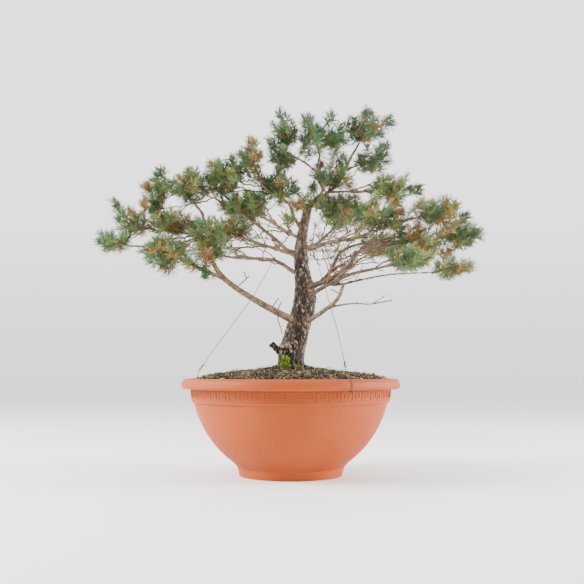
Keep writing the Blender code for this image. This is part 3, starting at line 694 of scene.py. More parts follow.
def smoothly(low, high, value):
    share = min(max((value - low) / (high - low), 0.0), 1.0)
    return share * share * (3 - 2 * share)


wood_bm = bmesh.new()
for name in ["trunk", *limb_names]:
    wood_bm.from_mesh(nodes[name].data)
bmesh.ops.remove_doubles(wood_bm, verts=wood_bm.verts, dist=1e-5)
wood_body = linked("wood_body", mesh_from(wood_bm, "wood_body"))
skin = wood_body.modifiers.new("skin", "REMESH")
skin.mode = "VOXEL"
skin.voxel_size = WOOD_GRAIN
fair = wood_body.modifiers.new("fair", "SMOOTH")
fair.factor = 0.5
fair.iterations = 6
bark_mesh = baked(wood_body)

trunk_surface, limb_surface = surface_of(["trunk"]), surface_of(limb_names)
# The right-hand limbs that stand in shadow; their bark gets painted shade.
shaded_limbs_surface = surface_of(["limb_right_middle", "limb_right_back", "limb_right_front"])
wood_layers = {label: bark_mesh.attributes.new(label, "FLOAT", "POINT")
               for label in ("age", "plate", "crack", "painted_shade_and_low_dark")}
for vertex, normal in zip(bark_mesh.vertices, [v.normal.copy() for v in bark_mesh.vertices]):
    spot = vertex.co
    to_trunk = trunk_surface.find_nearest(spot)[3]
    to_limb = limb_surface.find_nearest(spot)[3]
    height = spot.z - RIM_HEIGHT
    age = smoothly(-0.006, 0.010, to_limb - to_trunk) * (1 - 0.55 * smoothly(0.20, 0.32, height))
    wander = 0.25 * Vector([noise.noise(spot * 60.0 + shift) for shift in WANDER_SHIFTS])
    distances, places = noise.voronoi(spot * PLATES_PER_METRE + 2.6 * wander)
    gap = smoothly(0.03, 0.36, distances[1] - distances[0])
    plate = 0.5 + 0.5 * noise.cell(places[0] * 3.1)
    fine_distances, _ = noise.voronoi(spot * FLAKES_PER_METRE + 3 * wander)
    fine_gap = smoothly(0.0, 0.3, fine_distances[1] - fine_distances[0])
    lump = noise.fractal(spot * 230.0, 0.7, 2.2, 3)
    old = PLATE_DEPTH * (0.75 * gap + 0.65 * plate + 0.22 * fine_gap - 0.85 + 0.25 * lump)
    young = LIMB_DEPTH * (0.55 * lump + 0.5 * fine_gap - 0.35)
    vertex.co += normal * (age * old + (1 - age) * young)
    wood_layers["age"].data[vertex.index].value = age
    wood_layers["plate"].data[vertex.index].value = plate
    wood_layers["crack"].data[vertex.index].value = (
        age * gap * (0.45 + 0.55 * fine_gap) + (1 - age) * (0.35 + 0.65 * fine_gap))
    # Painted shade on the right-hand limbs that stand in shadow, and the trunk darker low down, just above
    # the soil.
    wood_layers["painted_shade_and_low_dark"].data[vertex.index].value = max(
        0.75 * (1 - smoothly(0.0, 0.004, shaded_limbs_surface.find_nearest(spot)[3])) * (1 - age),
        0.6 * (1 - smoothly(0.018, 0.050, height)))


def rescaled(tree, value, start, end, low, high, **settings):
    """The socket of a value carried from the range start to end over to low to high."""
    return add(tree, "ShaderNodeMapRange", {
        "Value": value, "From Min": start, "From Max": end, "To Min": low, "To Max": high},
        **settings).outputs[0]


# Pine bark: grey brown plates with pale worn faces and nearly black cracks on the trunk, warmer
# tan skin on the limbs, painted shade on the shadowed right-hand limbs, and darker colour low down.
pine_bark, tree, shader = new_material("pine_bark", 0.88)
place = add(tree, "ShaderNodeTexCoord")
signals = {label: add(tree, "ShaderNodeAttribute", attribute_name=label).outputs["Fac"]
           for label in wood_layers}
stretched = add(tree, "ShaderNodeMapping", {"Vector": place.outputs["Object"]})
stretched.inputs["Scale"].default_value = (1.0, 1.0, 0.45)
flakes = add(tree, "ShaderNodeTexNoise", {"Vector": stretched.outputs[0], "Scale": 260.0,
                                          "Detail": 5.0, "Roughness": 0.65})
mixed_tone = maths(tree, "MULTIPLY_ADD", flakes.outputs["Fac"], 0.6,
                   maths(tree, "MULTIPLY", signals["plate"], 0.55))
old_colour = ramp(tree, mixed_tone, [
    (0.28, "#1D1611"), (0.45, "#403329"), (0.60, "#624F41"), (0.75, "#8E7862"), (0.92, "#C2AC8D")])
young_tone = maths(tree, "MULTIPLY_ADD", mottle(tree, 75.0, Detail=3.0), 0.45,
                   maths(tree, "MULTIPLY", flakes.outputs["Fac"], 0.55))
young_colour = ramp(tree, young_tone, [
    (0.32, "#43352A"), (0.44, "#6E5B45"), (0.56, "#957F61"), (0.70, "#B5A07E")])
bark_colour = blend(tree, signals["age"], young_colour, old_colour)
fissures = add(tree, "ShaderNodeTexVoronoi", {"Vector": stretched.outputs[0], "Scale": 300.0,
                                              "Randomness": 1.0}, feature="DISTANCE_TO_EDGE")
# First painted shade on the shadowed right-hand limbs, with the trunk darker low down; then the cracks and
# fissures.
for share, dark in (
        (maths(tree, "MULTIPLY", signals["painted_shade_and_low_dark"], 0.75), "#3C3128"),
        (rescaled(tree, signals["crack"], 0.0, 0.55, 0.85, 0.0), "#17110D"),
        (rescaled(tree, fissures.outputs["Distance"], 0.02, 0.16, 0.62, 0.0), "#2B211A")):
    bark_colour = blend(tree, share, bark_colour, linear(dark))
paint(tree, shader, bark_colour)
relief = add(tree, "ShaderNodeBump", {"Height": flakes.outputs["Fac"], "Strength": 0.9,
                                      "Distance": 0.0015})
tree.links.new(relief.outputs["Normal"], shader.inputs["Normal"])

wood = new_piece("trunk_and_limbs", bark_mesh, pine_bark)
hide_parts("trunk", *limb_names)

# ------------------------------------------------------------------ twigs
# The wood's last divisions: thin kinked twigs that leave the limbs and fork up to the shoots that
# carry the needles, and short dead ones, bare and dark, left on the shaded inner wood.

SHOOTS_PER_LITRE = 190
FEWEST_SHOOTS = 15
SHOOT_LENGTHS = (0.008, 0.015)
PAD_SPREAD = Vector((1.03, 1.08, 0.96))
TWIG_STEP = 0.0065
SHOOT_RADIUS = 0.00066
WOOD_CHOICES = 60
JOIN_GAPS = (0.002, 0.11)
CROWN_MARGIN = 1.1
INNER_TWIGS = 340
INNER_RADIUS = 0.00112
INNER_LENGTHS = (0.035, 0.125)
INNER_CLEAR, INNER_REACH = 0.045, 0.30
INNER_AIR = 0.16
INNER_HEIGHTS = (0.19, 0.36)
LIVE_SHARE = 0.38
LIVE_CLEAR, LIVE_HEIGHT = 0.09, 0.235
TRUNK_TWIGS_FROM = 0.24
CLEAR_LIMBS = ("limb_right_low", "limb_right_low_side", "limb_left_low")
GREEN, BRIGHT, BROWN, RUSTY = 0.24, 0.64, 0.88, 1.1
SHOOTS_PER_TIP = 3
# The tips that stand out of the crown: across from the axis, up from the rim's plane, the colour,
# and for some how far in front of their mass's middle.
CROWN_TIPS = {
    "foliage_left_tip_low": [(-0.325, 0.250, GREEN)],
    "foliage_left_tip": [(-0.320, 0.315, GREEN), (-0.290, 0.275, GREEN), (-0.270, 0.320, RUSTY)],
    "foliage_left_spire": [(-0.245, 0.380, GREEN), (-0.270, 0.355, RUSTY)],
    "foliage_left_low": [(-0.255, 0.220, GREEN), (-0.220, 0.195, GREEN), (-0.150, 0.190, GREEN),
                         (-0.175, 0.205, BRIGHT), (-0.145, 0.215, BROWN)],
    "foliage_left_side": [(-0.250, 0.310, GREEN), (-0.235, 0.290, RUSTY), (-0.210, 0.275, GREEN)],
    "foliage_left_inner": [(-0.180, 0.275, BRIGHT), (-0.150, 0.240, BRIGHT), (-0.130, 0.225, GREEN)],
    "foliage_left_rise": [(-0.180, 0.375, GREEN), (-0.195, 0.360, BROWN)],
    "foliage_left_high": [(-0.140, 0.395, RUSTY), (-0.105, 0.400, GREEN), (-0.155, 0.370, GREEN)],
    "foliage_left_shoot": [(-0.075, 0.440, RUSTY), (-0.085, 0.415, RUSTY), (-0.065, 0.410, RUSTY)],
    "foliage_inner_top": [(-0.045, 0.370, GREEN), (-0.015, 0.375, GREEN, 0.02), (0.005, 0.345, GREEN, 0.03),
                          (-0.020, 0.330, BRIGHT, 0.03), (0.010, 0.315, RUSTY, 0.03),
                          (-0.005, 0.290, BRIGHT, 0.03), (0.030, 0.325, BRIGHT, 0.03)],
    "foliage_top_left_low": [(-0.015, 0.405, GREEN)],
    "foliage_top_left": [(-0.015, 0.490, GREEN), (0.005, 0.450, GREEN), (-0.035, 0.445, GREEN)],
    "foliage_top_middle": [(0.030, 0.485, GREEN), (0.025, 0.445, GREEN)],
    "foliage_top_right_middle": [(0.075, 0.495, GREEN), (0.090, 0.465, GREEN), (0.055, 0.465, GREEN)],
    "foliage_top_right": [(0.145, 0.512, GREEN), (0.115, 0.495, GREEN), (0.190, 0.490, GREEN)],
    "foliage_top_right_low": [(0.180, 0.445, GREEN), (0.160, 0.415, GREEN)],
    "foliage_leader": [(0.100, 0.410, GREEN), (0.045, 0.350, GREEN, 0.03), (0.060, 0.370, GREEN, 0.03),
                       (0.110, 0.370, BROWN)],
    "foliage_centre": [(0.055, 0.325, BRIGHT, 0.05), (0.125, 0.345, BROWN), (0.100, 0.300, BROWN, 0.04),
                       (0.135, 0.320, BRIGHT)],
    "foliage_right_upper": [(0.235, 0.345, GREEN), (0.205, 0.360, BRIGHT), (0.190, 0.325, RUSTY)],
    "foliage_right_outer_upper": [(0.305, 0.285, GREEN), (0.270, 0.295, GREEN), (0.240, 0.280, GREEN)],
    "foliage_right_outer": [(0.340, 0.265, GREEN), (0.310, 0.250, GREEN), (0.285, 0.235, RUSTY),
                            (0.300, 0.285, GREEN), (0.265, 0.245, BRIGHT)],
    "foliage_right_middle": [(0.150, 0.315, BRIGHT), (0.190, 0.300, RUSTY), (0.200, 0.275, BRIGHT)],
    "foliage_right_centre": [(0.180, 0.270, BRIGHT), (0.245, 0.225, BROWN), (0.225, 0.265, RUSTY)],
    "foliage_right_low": [(0.240, 0.205, BRIGHT), (0.180, 0.210, GREEN), (0.215, 0.220, BRIGHT)],
    "foliage_right_tip_low": [(0.325, 0.205, BROWN), (0.345, 0.220, BRIGHT)]}
pads = sorted(name for name in nodes if name.startswith("foliage_"))
wood_places = [vertex.co.copy() for name in ["trunk", *limb_names] for vertex in nodes[name].data.vertices
               if name != "trunk" or vertex.co.z > RIM_HEIGHT + TRUNK_TWIGS_FROM]
wood_finder = KDTree(len(wood_places))
for i, spot in enumerate(wood_places):
    wood_finder.insert(spot, i)
wood_finder.balance()
TREE_AXIS = Vector((0.024, 0.0, RIM_HEIGHT + 0.20))


def outward_from_tree(spot):
    """Away from the trunk and a little up, steeper near the top: the way towards the light."""
    away = Vector((spot.x - TREE_AXIS.x, spot.y - TREE_AXIS.y, 0.0))
    rise = 0.30 + 1.1 * smoothly(0.12, 0.0, away.length) * smoothly(0.26, 0.40, spot.z - RIM_HEIGHT)
    return (away.normalized() + Vector((0, 0, rise))).normalized()


def random_direction(chance):
    return Vector([chance.gauss(0, 1) for _ in range(3)]).normalized()


def shoot_tone(pad, chance):
    """Greens, purest at the top and yellower on the right, with some brown ones everywhere."""
    if chance.random() < 0.07:
        return chance.uniform(0.84, 1.0)
    middle = 0.27 if "_top" in pad else 0.50 if "_right" in pad else 0.40
    return min(max(chance.gauss(middle, 0.16), 0.02), 0.80)


def shoots_in(pad, chance):
    """Shoots (foot, direction, length, tone): the crown's own tips, and the rest spread evenly."""
    low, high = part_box(pad)
    middle, half = (low + high) / 2, (high - low) / 2
    volume = 4 / 3 * math.pi * half.x * half.y * half.z * 1000
    made = []
    for across, height, tone, *forward in CROWN_TIPS.get(pad, []):
        depth = middle.y - sum(forward) + 0.35 * half.y * chance.uniform(-1, 1)
        for _ in range(SHOOTS_PER_TIP):
            tip = Vector((across, depth, RIM_HEIGHT + height)) + 0.0075 * random_direction(chance)
            made.append((tip, tone + chance.uniform(-0.06, 0.06)))
    for _ in range(max(FEWEST_SHOOTS, round(volume * SHOOTS_PER_LITRE))):
        best = None
        for _ in range(7):
            inside = random_direction(chance) * chance.random() ** 0.45
            tip = middle + Vector(a * b * c for a, b, c in zip(inside, half, PAD_SPREAD))
            room = min([(tip - other).length for other, _ in made] or [1.0])
            if best is None or room > best[0]:
                best = (room, tip)
        made.append((best[1], shoot_tone(pad, chance)))
    shoots = []
    for tip, tone in made:
        inside = Vector(a / b for a, b in zip(tip - middle, half))
        aim = (0.5 * outward_from_tree(tip) + 0.5 * inside.normalized() + Vector((0, 0, 0.40))
               + 0.38 * random_direction(chance)).normalized()
        length = chance.uniform(*SHOOT_LENGTHS)
        shoots.append((tip - aim * length, aim, length, tone))
    return shoots


class Twigs:
    """Twigs as linked points; each point knows its parent and how many shoots hang on it."""

    def __init__(self):
        self.places, self.parents, self.loads, self.ways = [], [], [], []

    def grow(self, parent, start, way, target, aim, chance, kink=0.0009):
        """Adds a curved, slightly kinked run of points from the start to the target."""
        reach = (target - start).length
        count = max(2, round(reach / TWIG_STEP))
        for i in range(parent is not None, count + 1):
            t = i / count
            bend = ((2 * t ** 3 - 3 * t ** 2 + 1) * start + (t ** 3 - 2 * t ** 2 + t) * reach * way
                    + (3 * t ** 2 - 2 * t ** 3) * target + (t ** 3 - t ** 2) * reach * aim)
            if 0 < i < count:
                bend += random_direction(chance) * kink
            self.places.append(bend)
            self.parents.append(parent)
            self.loads.append(0.0)
            self.ways.append((bend - start).normalized() if i else way)
            parent = len(self.places) - 1
        return parent

    def load(self, tip, weight=1.0):
        while tip is not None:
            self.loads[tip] += weight
            tip = self.parents[tip]

    def mesh(self, name, thickness, tones):
        """Edges with a radius and a tone at every point."""
        mesh = bpy.data.meshes.new(name)
        edges = [(parent, i) for i, parent in enumerate(self.parents) if parent is not None]
        mesh.from_pydata(self.places, edges, [])
        radius = mesh.attributes.new("radius", "FLOAT", "POINT")
        tone = mesh.attributes.new("tone", "FLOAT", "POINT")
        for i, load in enumerate(self.loads):
            radius.data[i].value = thickness * max(load, 0.3) ** 0.45
            tone.data[i].value = tones[i % len(tones)]
        return mesh


def nearest_wood(spot):
    """The best place on the limbs for a twig to leave from: near, and on the trunk's side."""
    outward = outward_from_tree(spot)
    best = None
    for place_on_wood, _, distance in wood_finder.find_n(spot, WOOD_CHOICES):
        facing = (spot - place_on_wood).normalized().dot(outward)
        cost = distance * (1.0 + 0.55 * (1.0 - facing))
        if best is None or cost < best[0]:
            best = (cost, place_on_wood)
    return best


def twigs_to(shoots, twigs, chance):
    """Joins each shoot to the nearest limb or twig behind it, the nearest shoots first."""
    order = sorted(shoots, key=lambda shoot: wood_finder.find(shoot[0])[2])
    feet = []
    own_start = len(twigs.places)
    for foot, aim, length, _ in order:
        cost, start = nearest_wood(foot)
        parent = None
        for i in range(own_start, len(twigs.places)):
            gap = foot - twigs.places[i]
            if not JOIN_GAPS[0] <= gap.length <= JOIN_GAPS[1]:
                continue
            facing = gap.normalized().dot(twigs.ways[i])
            here = gap.length * (1.15 + 0.9 * (1.0 - facing)) + 0.004
            if here < cost:
                cost, parent = here, i
        if parent is None:
            way = (foot - start).normalized()
        else:
            start = twigs.places[parent]
            way = (0.6 * twigs.ways[parent] + (foot - start).normalized()).normalized()
        end = twigs.grow(parent, start, way, foot, aim, chance)
        feet.append(end)
        end = twigs.grow(end, foot, aim, foot + aim * length, aim, chance, 0.0003)
        twigs.load(end)
    return order, feet


def off_axis(spot):
    """How far a place is from the tree's upright axis."""
    return Vector((spot.x - TREE_AXIS.x, spot.y - TREE_AXIS.y)).length


crown = [((low + high) / 2, (high - low) / 2) for low, high in map(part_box, pads)]


def in_crown(spot):
    """Whether a place is within or just beside the foliage, or between it and the trunk."""
    for middle, half in crown:
        off = spot - middle
        if Vector((off.x / half.x, off.y / half.y, off.z / half.z)).length < CROWN_MARGIN:
            return True
    return off_axis(spot) < INNER_AIR and INNER_HEIGHTS[0] < spot.z - RIM_HEIGHT < INNER_HEIGHTS[1]


def inner_twigs(twigs, chance):
    """Twigs from the limbs, some of them forked; returns shoots at the tips of the ones still alive."""
    alive = []
    starts = [vertex.co.copy() for name in limb_names if name not in CLEAR_LIMBS
              for vertex in nodes[name].data.vertices]
    starts = [spot for spot in starts if INNER_CLEAR < off_axis(spot) < INNER_REACH]
    for _ in range(INNER_TWIGS):
        start = chance.choice(starts)
        aim = (outward_from_tree(start) + random_direction(chance) * 0.55).normalized()
        length = chance.uniform(*INNER_LENGTHS)
        if not in_crown(start + length * aim):
            continue
        way = (aim + 0.6 * random_direction(chance)).normalized()
        first = len(twigs.places)
        end = twigs.grow(None, start, aim, start + length * (0.8 * aim + 0.2 * way), way, chance, 0.0020)
        ends = [(end, way)]
        for _ in range(chance.choice((0, 1, 1, 2, 3))):
            fork = chance.randrange(first + (end - first) // 3, end + 1)
            side = (twigs.ways[fork] + 0.9 * random_direction(chance)).normalized()
            reach = chance.uniform(0.3, 0.65) * length
            if not in_crown(twigs.places[fork] + reach * side):
                continue
            ends.append((twigs.grow(fork, twigs.places[fork], side, twigs.places[fork] + reach * side,
                                    side, chance, 0.0012), side))
        living = chance.random() < LIVE_SHARE
        for end, way in ends:
            twigs.load(end, 1.0 if living else 0.7)
            tip = twigs.places[end]
            in_light = off_axis(tip) > LIVE_CLEAR or tip.z > RIM_HEIGHT + LIVE_HEIGHT
            if living and chance.random() < 0.8 and in_light:
                alive.append((tip - way * 0.004, way, chance.uniform(0.007, 0.013),
                              min(max(chance.gauss(0.58, 0.18), 0.1), 1.0)))
    return alive


# Twig bark: pinkish brown when young, greyer with age.
twig_bark, tree, shader = new_material("twig_bark", 0.8)
tone = add(tree, "ShaderNodeAttribute", attribute_name="tone")
light_part = maths(tree, "MULTIPLY_ADD", mottle(tree, 500.0, Detail=2.0), 0.35, tone.outputs["Fac"])
paint(tree, shader, ramp(tree, light_part, [
    (0.15, "#2B211A"), (0.45, "#543F2D"), (0.75, "#7C6044"), (1.0, "#9C8060")]))

# Gives edges a round skin: each point's radius attribute is the twig's radius there.
skinned, given, result = geometry_tree("twig_skin", Sides="Int", Bark="Material")
lines = add(skinned, "GeometryNodeMeshToCurve", {"Mesh": given["Geometry"]})
ring = add(skinned, "GeometryNodeCurvePrimitiveCircle", {"Resolution": given["Sides"], "Radius": 1.0})
radius = add(skinned, "GeometryNodeInputNamedAttribute", {"Name": "radius"}, data_type="FLOAT")
tubes = add(skinned, "GeometryNodeCurveToMesh", {
    "Curve": lines.outputs[0], "Profile Curve": ring.outputs[0], "Scale": radius.outputs[0],
    "Fill Caps": True})
coated = add(skinned, "GeometryNodeSetMaterial", {"Geometry": tubes.outputs[0], "Material": given["Bark"]})
skinned.links.new(coated.outputs[0], result[0])

chance = random.Random(11)
live_twigs = Twigs()
shoots_of, foot_of = {}, {}
for pad in pads:
    shoots_of[pad], foot_of[pad] = twigs_to(shoots_in(pad, chance), live_twigs, chance)
inner = Twigs()
inner_shoots = inner_twigs(inner, chance)
# Dead twigs left bare on the lowest limbs: from, to, in metres from the middle of the rim's plane.
BARE_TWIGS = (
    ((0.141, -0.101, 0.130), (0.1765, -0.105, 0.136)), ((0.086, -0.082, 0.150), (0.070, -0.084, 0.158)),
    ((-0.035, -0.038, 0.127), (-0.022, -0.034, 0.146)), ((-0.024, -0.036, 0.122), (-0.017, -0.033, 0.139)),
    ((-0.024, -0.036, 0.114), (-0.016, -0.033, 0.081)), ((-0.096, -0.058, 0.164), (-0.075, -0.055, 0.184)),
    ((-0.080, -0.055, 0.180), (-0.084, -0.055, 0.192)), ((-0.130, -0.067, 0.196), (-0.120, -0.070, 0.176)))
for start, end in BARE_TWIGS:
    start, end = Vector(start) + RIM_PLANE, Vector(end) + RIM_PLANE
    way = (end - start).normalized()
    inner.load(inner.grow(None, start, way, end, way, chance), 0.9)
for name, grown_twigs, thickness, tones in (
        ("live_twigs", live_twigs, SHOOT_RADIUS, [0.62, 0.68, 0.58]),
        ("inner_twigs", inner, INNER_RADIUS, [0.32, 0.38, 0.45, 0.55, 0.5])):
    skin_mesh = grown(grown_twigs.mesh(name, thickness, tones), skinned, Sides=5, Bark=twig_bark)
    new_piece(name, skin_mesh, twig_bark)

# ------------------------------------------------------------------ needles
# Each shoot is set all round with pairs of stiff, slightly twisted needles, short and spread wide at
# its foot and pointing forward at its tip. Most are deep or bluish green, some yellow, a few dead.

NEEDLE_LENGTH = 0.0170
NEEDLE_WIDTH = 0.00125
PAIR_ANGLE = math.radians(9)
PAIRS_PER_SHOOT = 19
FOOT_TILT = math.radians(86)
TIP_TILT = math.radians(20)
OLD_PAIRS = 9
OLD_RUN = 6
INNER_PAIRS = 15

# Pine needle: waxy green. Tone runs from deep bluish green through mid green to yellow and brown.
pine_needle, tree, shader = new_material("pine_needle", 0.52, Subsurface_Weight=0.12)
shader.inputs["Subsurface Radius"].default_value = (0.0010, 0.0016, 0.0006)
tone = add(tree, "ShaderNodeAttribute", attribute_name="tone")
needle_colour = ramp(tree, tone.outputs["Fac"], [
    (0.0, "#1E3B1E"), (0.20, "#345A34"), (0.40, "#4F763F"), (0.58, "#6B8548"), (0.72, "#878747"),
    (0.84, "#9F8A50"), (0.93, "#8F5F35"), (1.0, "#6A4226")])
reach = add(tree, "ShaderNodeAttribute", attribute_name="reach")
foot_share = rescaled(tree, reach.outputs["Fac"], 0.0, 0.35, 0.55, 0.0)
paint(tree, shader, blend(tree, foot_share, needle_colour, linear("#8C9A5E")))


def needle_pair():
    """Two needles leaving one sheath along Z, three-sided, a little bowed and pointed."""
    bm = bmesh.new()
    layer = bm.verts.layers.float.new("reach")
    for side in (-1, 1):
        rings = []
        for share, width in ((0.0, 0.45), (0.45, 1.0), (0.85, 0.7)):
            sway = side * math.sin(PAIR_ANGLE) * NEEDLE_LENGTH * share * (1.0 - 0.25 * share)
            middle = Vector((sway, 0.0008 * math.sin(3 * share) * side, NEEDLE_LENGTH * share))
            rings.append([bm.verts.new(middle + 0.5 * NEEDLE_WIDTH * width * Vector(
                (math.cos(a), math.sin(a), 0.0))) for a in (0.0, 2.1, 4.2)])
            for vertex in rings[-1]:
                vertex[layer] = share
        point = bm.verts.new((side * math.sin(PAIR_ANGLE) * NEEDLE_LENGTH * 0.78, 0.0, NEEDLE_LENGTH))
        point[layer] = 1.0
        for lower, upper in zip(rings, rings[1:]):
            for k in range(3):
                bm.faces.new((lower[k], lower[(k + 1) % 3], upper[(k + 1) % 3], upper[k]))
        for k in range(3):
            bm.faces.new((rings[-1][k], rings[-1][(k + 1) % 3], point))
    return mesh_from(bm, "needle_pair")


# Sets shapes round edge chains: spun about the chain, tilted wide at its foot, forward at its tip.
bristle, given, result = geometry_tree("bristle", Shape="Object", Count="Int", Foot="Float", Tip="Float",
                                       Scatter="Float", Low="Float", High="Float", Seed="Int",
                                       Cover="Material")
lines = add(bristle, "GeometryNodeMeshToCurve", {"Mesh": given["Geometry"]})
along = add(bristle, "GeometryNodeSplineParameter")
marked_lines = add(bristle, "GeometryNodeStoreNamedAttribute", {
    "Geometry": lines.outputs[0], "Name": "along", "Value": along.outputs["Factor"]},
    data_type="FLOAT", domain="POINT")
stations = add(bristle, "GeometryNodeCurveToPoints", {"Curve": marked_lines.outputs[0],
                                                      "Count": given["Count"]}, mode="COUNT")
place_along = add(bristle, "GeometryNodeInputNamedAttribute", {"Name": "along"}, data_type="FLOAT")
wide = rescaled(bristle, place_along.outputs[0], 0.0, 1.0, given["Foot"], given["Tip"])
less = maths(bristle, "MULTIPLY", given["Scatter"], -1.0)
tilt = maths(bristle, "ADD", wide, random_value(bristle, given["Seed"], less, given["Scatter"]))
upright = add(bristle, "FunctionNodeAlignRotationToVector", {"Vector": stations.outputs["Tangent"]},
              axis="Z")
spin = add(bristle, "FunctionNodeAxisAngleToRotation", {
    "Axis": (0.0, 0.0, 1.0), "Angle": random_value(bristle, 21, 0.0, 2 * math.pi)})
tip_over = add(bristle, "FunctionNodeAxisAngleToRotation", {"Axis": (0.0, 1.0, 0.0), "Angle": tilt})
own_spin = add(bristle, "FunctionNodeAxisAngleToRotation", {
    "Axis": (0.0, 0.0, 1.0), "Angle": random_value(bristle, 22, 0.0, 2 * math.pi)})
facing = upright.outputs[0]
for step in (spin, tip_over, own_spin):
    facing = add(bristle, "FunctionNodeRotateRotation", {"Rotation": facing, "Rotate By": step.outputs[0]},
                 rotation_space="LOCAL").outputs[0]
shape = add(bristle, "GeometryNodeObjectInfo", {"Object": given["Shape"]})
copies = add(bristle, "GeometryNodeInstanceOnPoints", {
    "Points": stations.outputs[0], "Instance": shape.outputs["Geometry"], "Rotation": facing,
    "Scale": random_value(bristle, 23, given["Low"], given["High"])})
chain_tone = add(bristle, "GeometryNodeInputNamedAttribute", {"Name": "tone"}, data_type="FLOAT")
own_tone = maths(bristle, "ADD", chain_tone.outputs[0], random_value(bristle, 24, -0.15, 0.15))
finish_copies(bristle, copies.outputs[0], own_tone, given["Cover"], result)


def shoot_lines(name, shoots, start=0.0, end=1.0):
    """Edge chains along a part of each shoot, with the shoot's tone."""
    mesh = bpy.data.meshes.new(name)
    corners, edges, values = [], [], []
    for foot, aim, length, tone_value in shoots:
        first = len(corners)
        corners.extend(foot + aim * length * (start + (end - start) * i / 2) for i in range(3))
        edges.extend([(first, first + 1), (first + 1, first + 2)])
        values.extend([tone_value if tone_value < 1.0 else 0.80] * 3)
    mesh.from_pydata(corners, edges, [])
    layer = mesh.attributes.new("tone", "FLOAT", "POINT")
    layer.data.foreach_set("value", values)
    return mesh


def old_run(foot, chance):
    """The stretch of twig behind a shoot that keeps a few old yellow or brown needles."""
    run = [foot]
    while len(run) < OLD_RUN and live_twigs.parents[run[-1]] is not None:
        run.append(live_twigs.parents[run[-1]])
    low, high = live_twigs.places[run[-1]], live_twigs.places[run[0]]
    return low, (high - low).normalized(), (high - low).length, chance.uniform(0.5, 0.98)


needle_shape = bpy.data.objects.new("needle_pair", needle_pair())
for i, pad in enumerate(pads):
    young = grown(shoot_lines(pad, shoots_of[pad], 0.12, 1.0), bristle, Shape=needle_shape,
                  Count=PAIRS_PER_SHOOT, Foot=FOOT_TILT, Tip=TIP_TILT, Scatter=0.30, Low=0.68, High=1.12,
                  Seed=i, Cover=pine_needle)
    runs = [old_run(foot, chance) for foot in foot_of[pad]]
    runs = [run for run in runs if run[2] > 0.008]
    old = grown(shoot_lines(pad, runs), bristle,
                Shape=needle_shape, Count=OLD_PAIRS, Foot=0.95, Tip=0.7, Scatter=0.35, Low=0.55,
                High=0.95, Seed=100 + i, Cover=pine_needle)
    both = bmesh.new()
    both.from_mesh(young)
    both.from_mesh(old)
    needles = new_piece(pad.replace("foliage", "needles"), mesh_from(both, pad), pine_needle)
    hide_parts(pad)
inner_mesh = grown(shoot_lines("inner_shoots", inner_shoots), bristle, Shape=needle_shape,
                   Count=INNER_PAIRS, Foot=FOOT_TILT, Tip=TIP_TILT, Scatter=0.35, Low=0.55,
                   High=0.95, Seed=77, Cover=pine_needle)
inner_needles = new_piece("needles_inner", inner_mesh, pine_needle)
bpy.data.objects.remove(needle_shape)

# ------------------------------------------------------------------ buds and old cones
# Rusty brown clusters at the ends of some shoots: papery scales of spent male cones and resting
# buds, set close round the shoot's tip.

BUD_SHARE = 0.10
RUSTY_PADS = {"foliage_left_shoot": 0.6, "foliage_left_high": 0.3, "foliage_left_side": 0.3,
              "foliage_left_centre": 0.3, "foliage_left_low": 0.25, "foliage_right_upper": 0.3,
              "foliage_right_middle": 0.25, "foliage_right_outer": 0.3, "foliage_top_right": 0.03,
              "foliage_top_right_middle": 0.0, "foliage_top_middle": 0.03}
BUD_SIZE = 0.0105
BUDS_PER_SHOOT = 16

# Papery bud scale: rust to straw.
bud_scale, _ = toned_material("bud_scale", 0.75, [
    (0.0, "#7A3F1E"), (0.4, "#A5531F"), (0.7, "#B96E35"), (1.0, "#CB9560")])


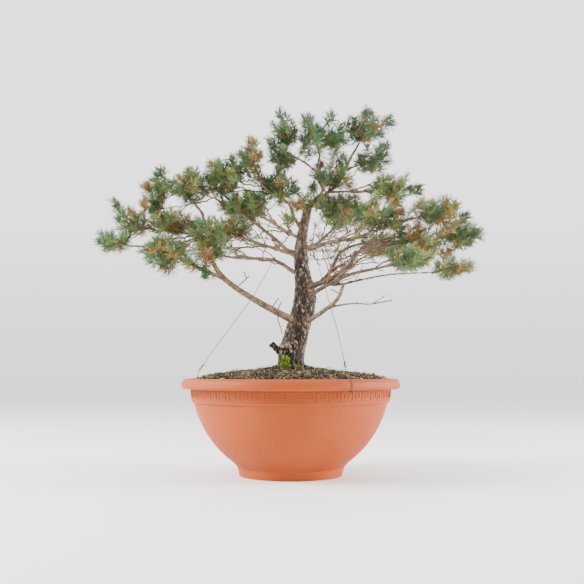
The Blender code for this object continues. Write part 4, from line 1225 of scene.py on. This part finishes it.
def bud_mesh():
    """One pointed bud along Z."""
    bm = bmesh.new()
    rings = []
    for share, width in ((0.0, 0.10), (0.4, 0.15), (0.8, 0.10)):
        half = width * 0.5 * BUD_SIZE
        rings.append([bm.verts.new((half * math.cos(a), half * math.sin(a), BUD_SIZE * share))
                      for a in (0.0, 1.57, 3.14, 4.71)])
    tip = bm.verts.new((0.0, 0.0, BUD_SIZE))
    for lower, upper in zip(rings, rings[1:]):
        for k in range(4):
            bm.faces.new((lower[k], lower[(k + 1) % 4], upper[(k + 1) % 4], upper[k]))
    for k in range(4):
        bm.faces.new((rings[-1][k], rings[-1][(k + 1) % 4], tip))
    return mesh_from(bm, "bud")


budding = []
for pad in pads:
    for foot, aim, length, tone_value in shoots_of[pad]:
        if tone_value > 1.0 or chance.random() < RUSTY_PADS.get(pad, BUD_SHARE):
            budding.append((foot, aim, length, chance.uniform(0.15, 0.85)))
bud_shape = bpy.data.objects.new("bud", bud_mesh())
cluster = grown(shoot_lines("buds", budding, 0.2, 1.1), bristle, Shape=bud_shape, Count=BUDS_PER_SHOOT,
                Foot=0.9, Tip=0.35, Scatter=0.35, Low=0.5, High=1.1, Seed=5, Cover=bud_scale)
buds = new_piece("buds_and_cones", cluster, bud_scale)
bpy.data.objects.remove(bud_shape)

# ------------------------------------------------------------------ light
# Large soft lamps stand at both sides, the left one stronger and higher, so the bowl is brightest
# at its edges. The surrounding light is stronger behind the object than in front of it, and fades
# towards the floor's brightness low down.

LAMPS = (("key_lamp", (-2.2, -0.35, 1.3), 1.5, 175.0), ("side_lamp", (2.2, -0.10, 0.8), 1.3, 120.0))
for name, place_of_lamp, lamp_size, power in LAMPS:
    lamp_data = bpy.data.lights.new(name, "AREA")
    lamp_data.shape = "DISK"
    lamp_data.size = lamp_size
    lamp_data.energy = power
    lamp = linked(name, lamp_data)
    lamp.location = place_of_lamp
    aim_at = Vector((0.0, 0.0, 0.3)) - lamp.location
    lamp.rotation_euler = aim_at.to_track_quat("-Z", "Y").to_euler()

studio = bpy.data.worlds.new("studio")
studio.use_nodes = True
sky = studio.node_tree
backdrop = sky.nodes["Background"]
backdrop.inputs["Color"].default_value = (1.0, 1.0, 1.0, 1.0)
direction = add(sky, "ShaderNodeTexCoord")
parts = add(sky, "ShaderNodeSeparateXYZ", {0: direction.outputs["Generated"]})
strength = rescaled(sky, parts.outputs["Y"], -0.7, 0.5, 0.70, 2.4)
rising = rescaled(sky, parts.outputs["Z"], 0.0, 0.22, 0.72, 1.0, interpolation_type="SMOOTHSTEP")
sky.links.new(maths(sky, "MULTIPLY", strength, rising), backdrop.inputs["Strength"])
bpy.context.scene.world = studio
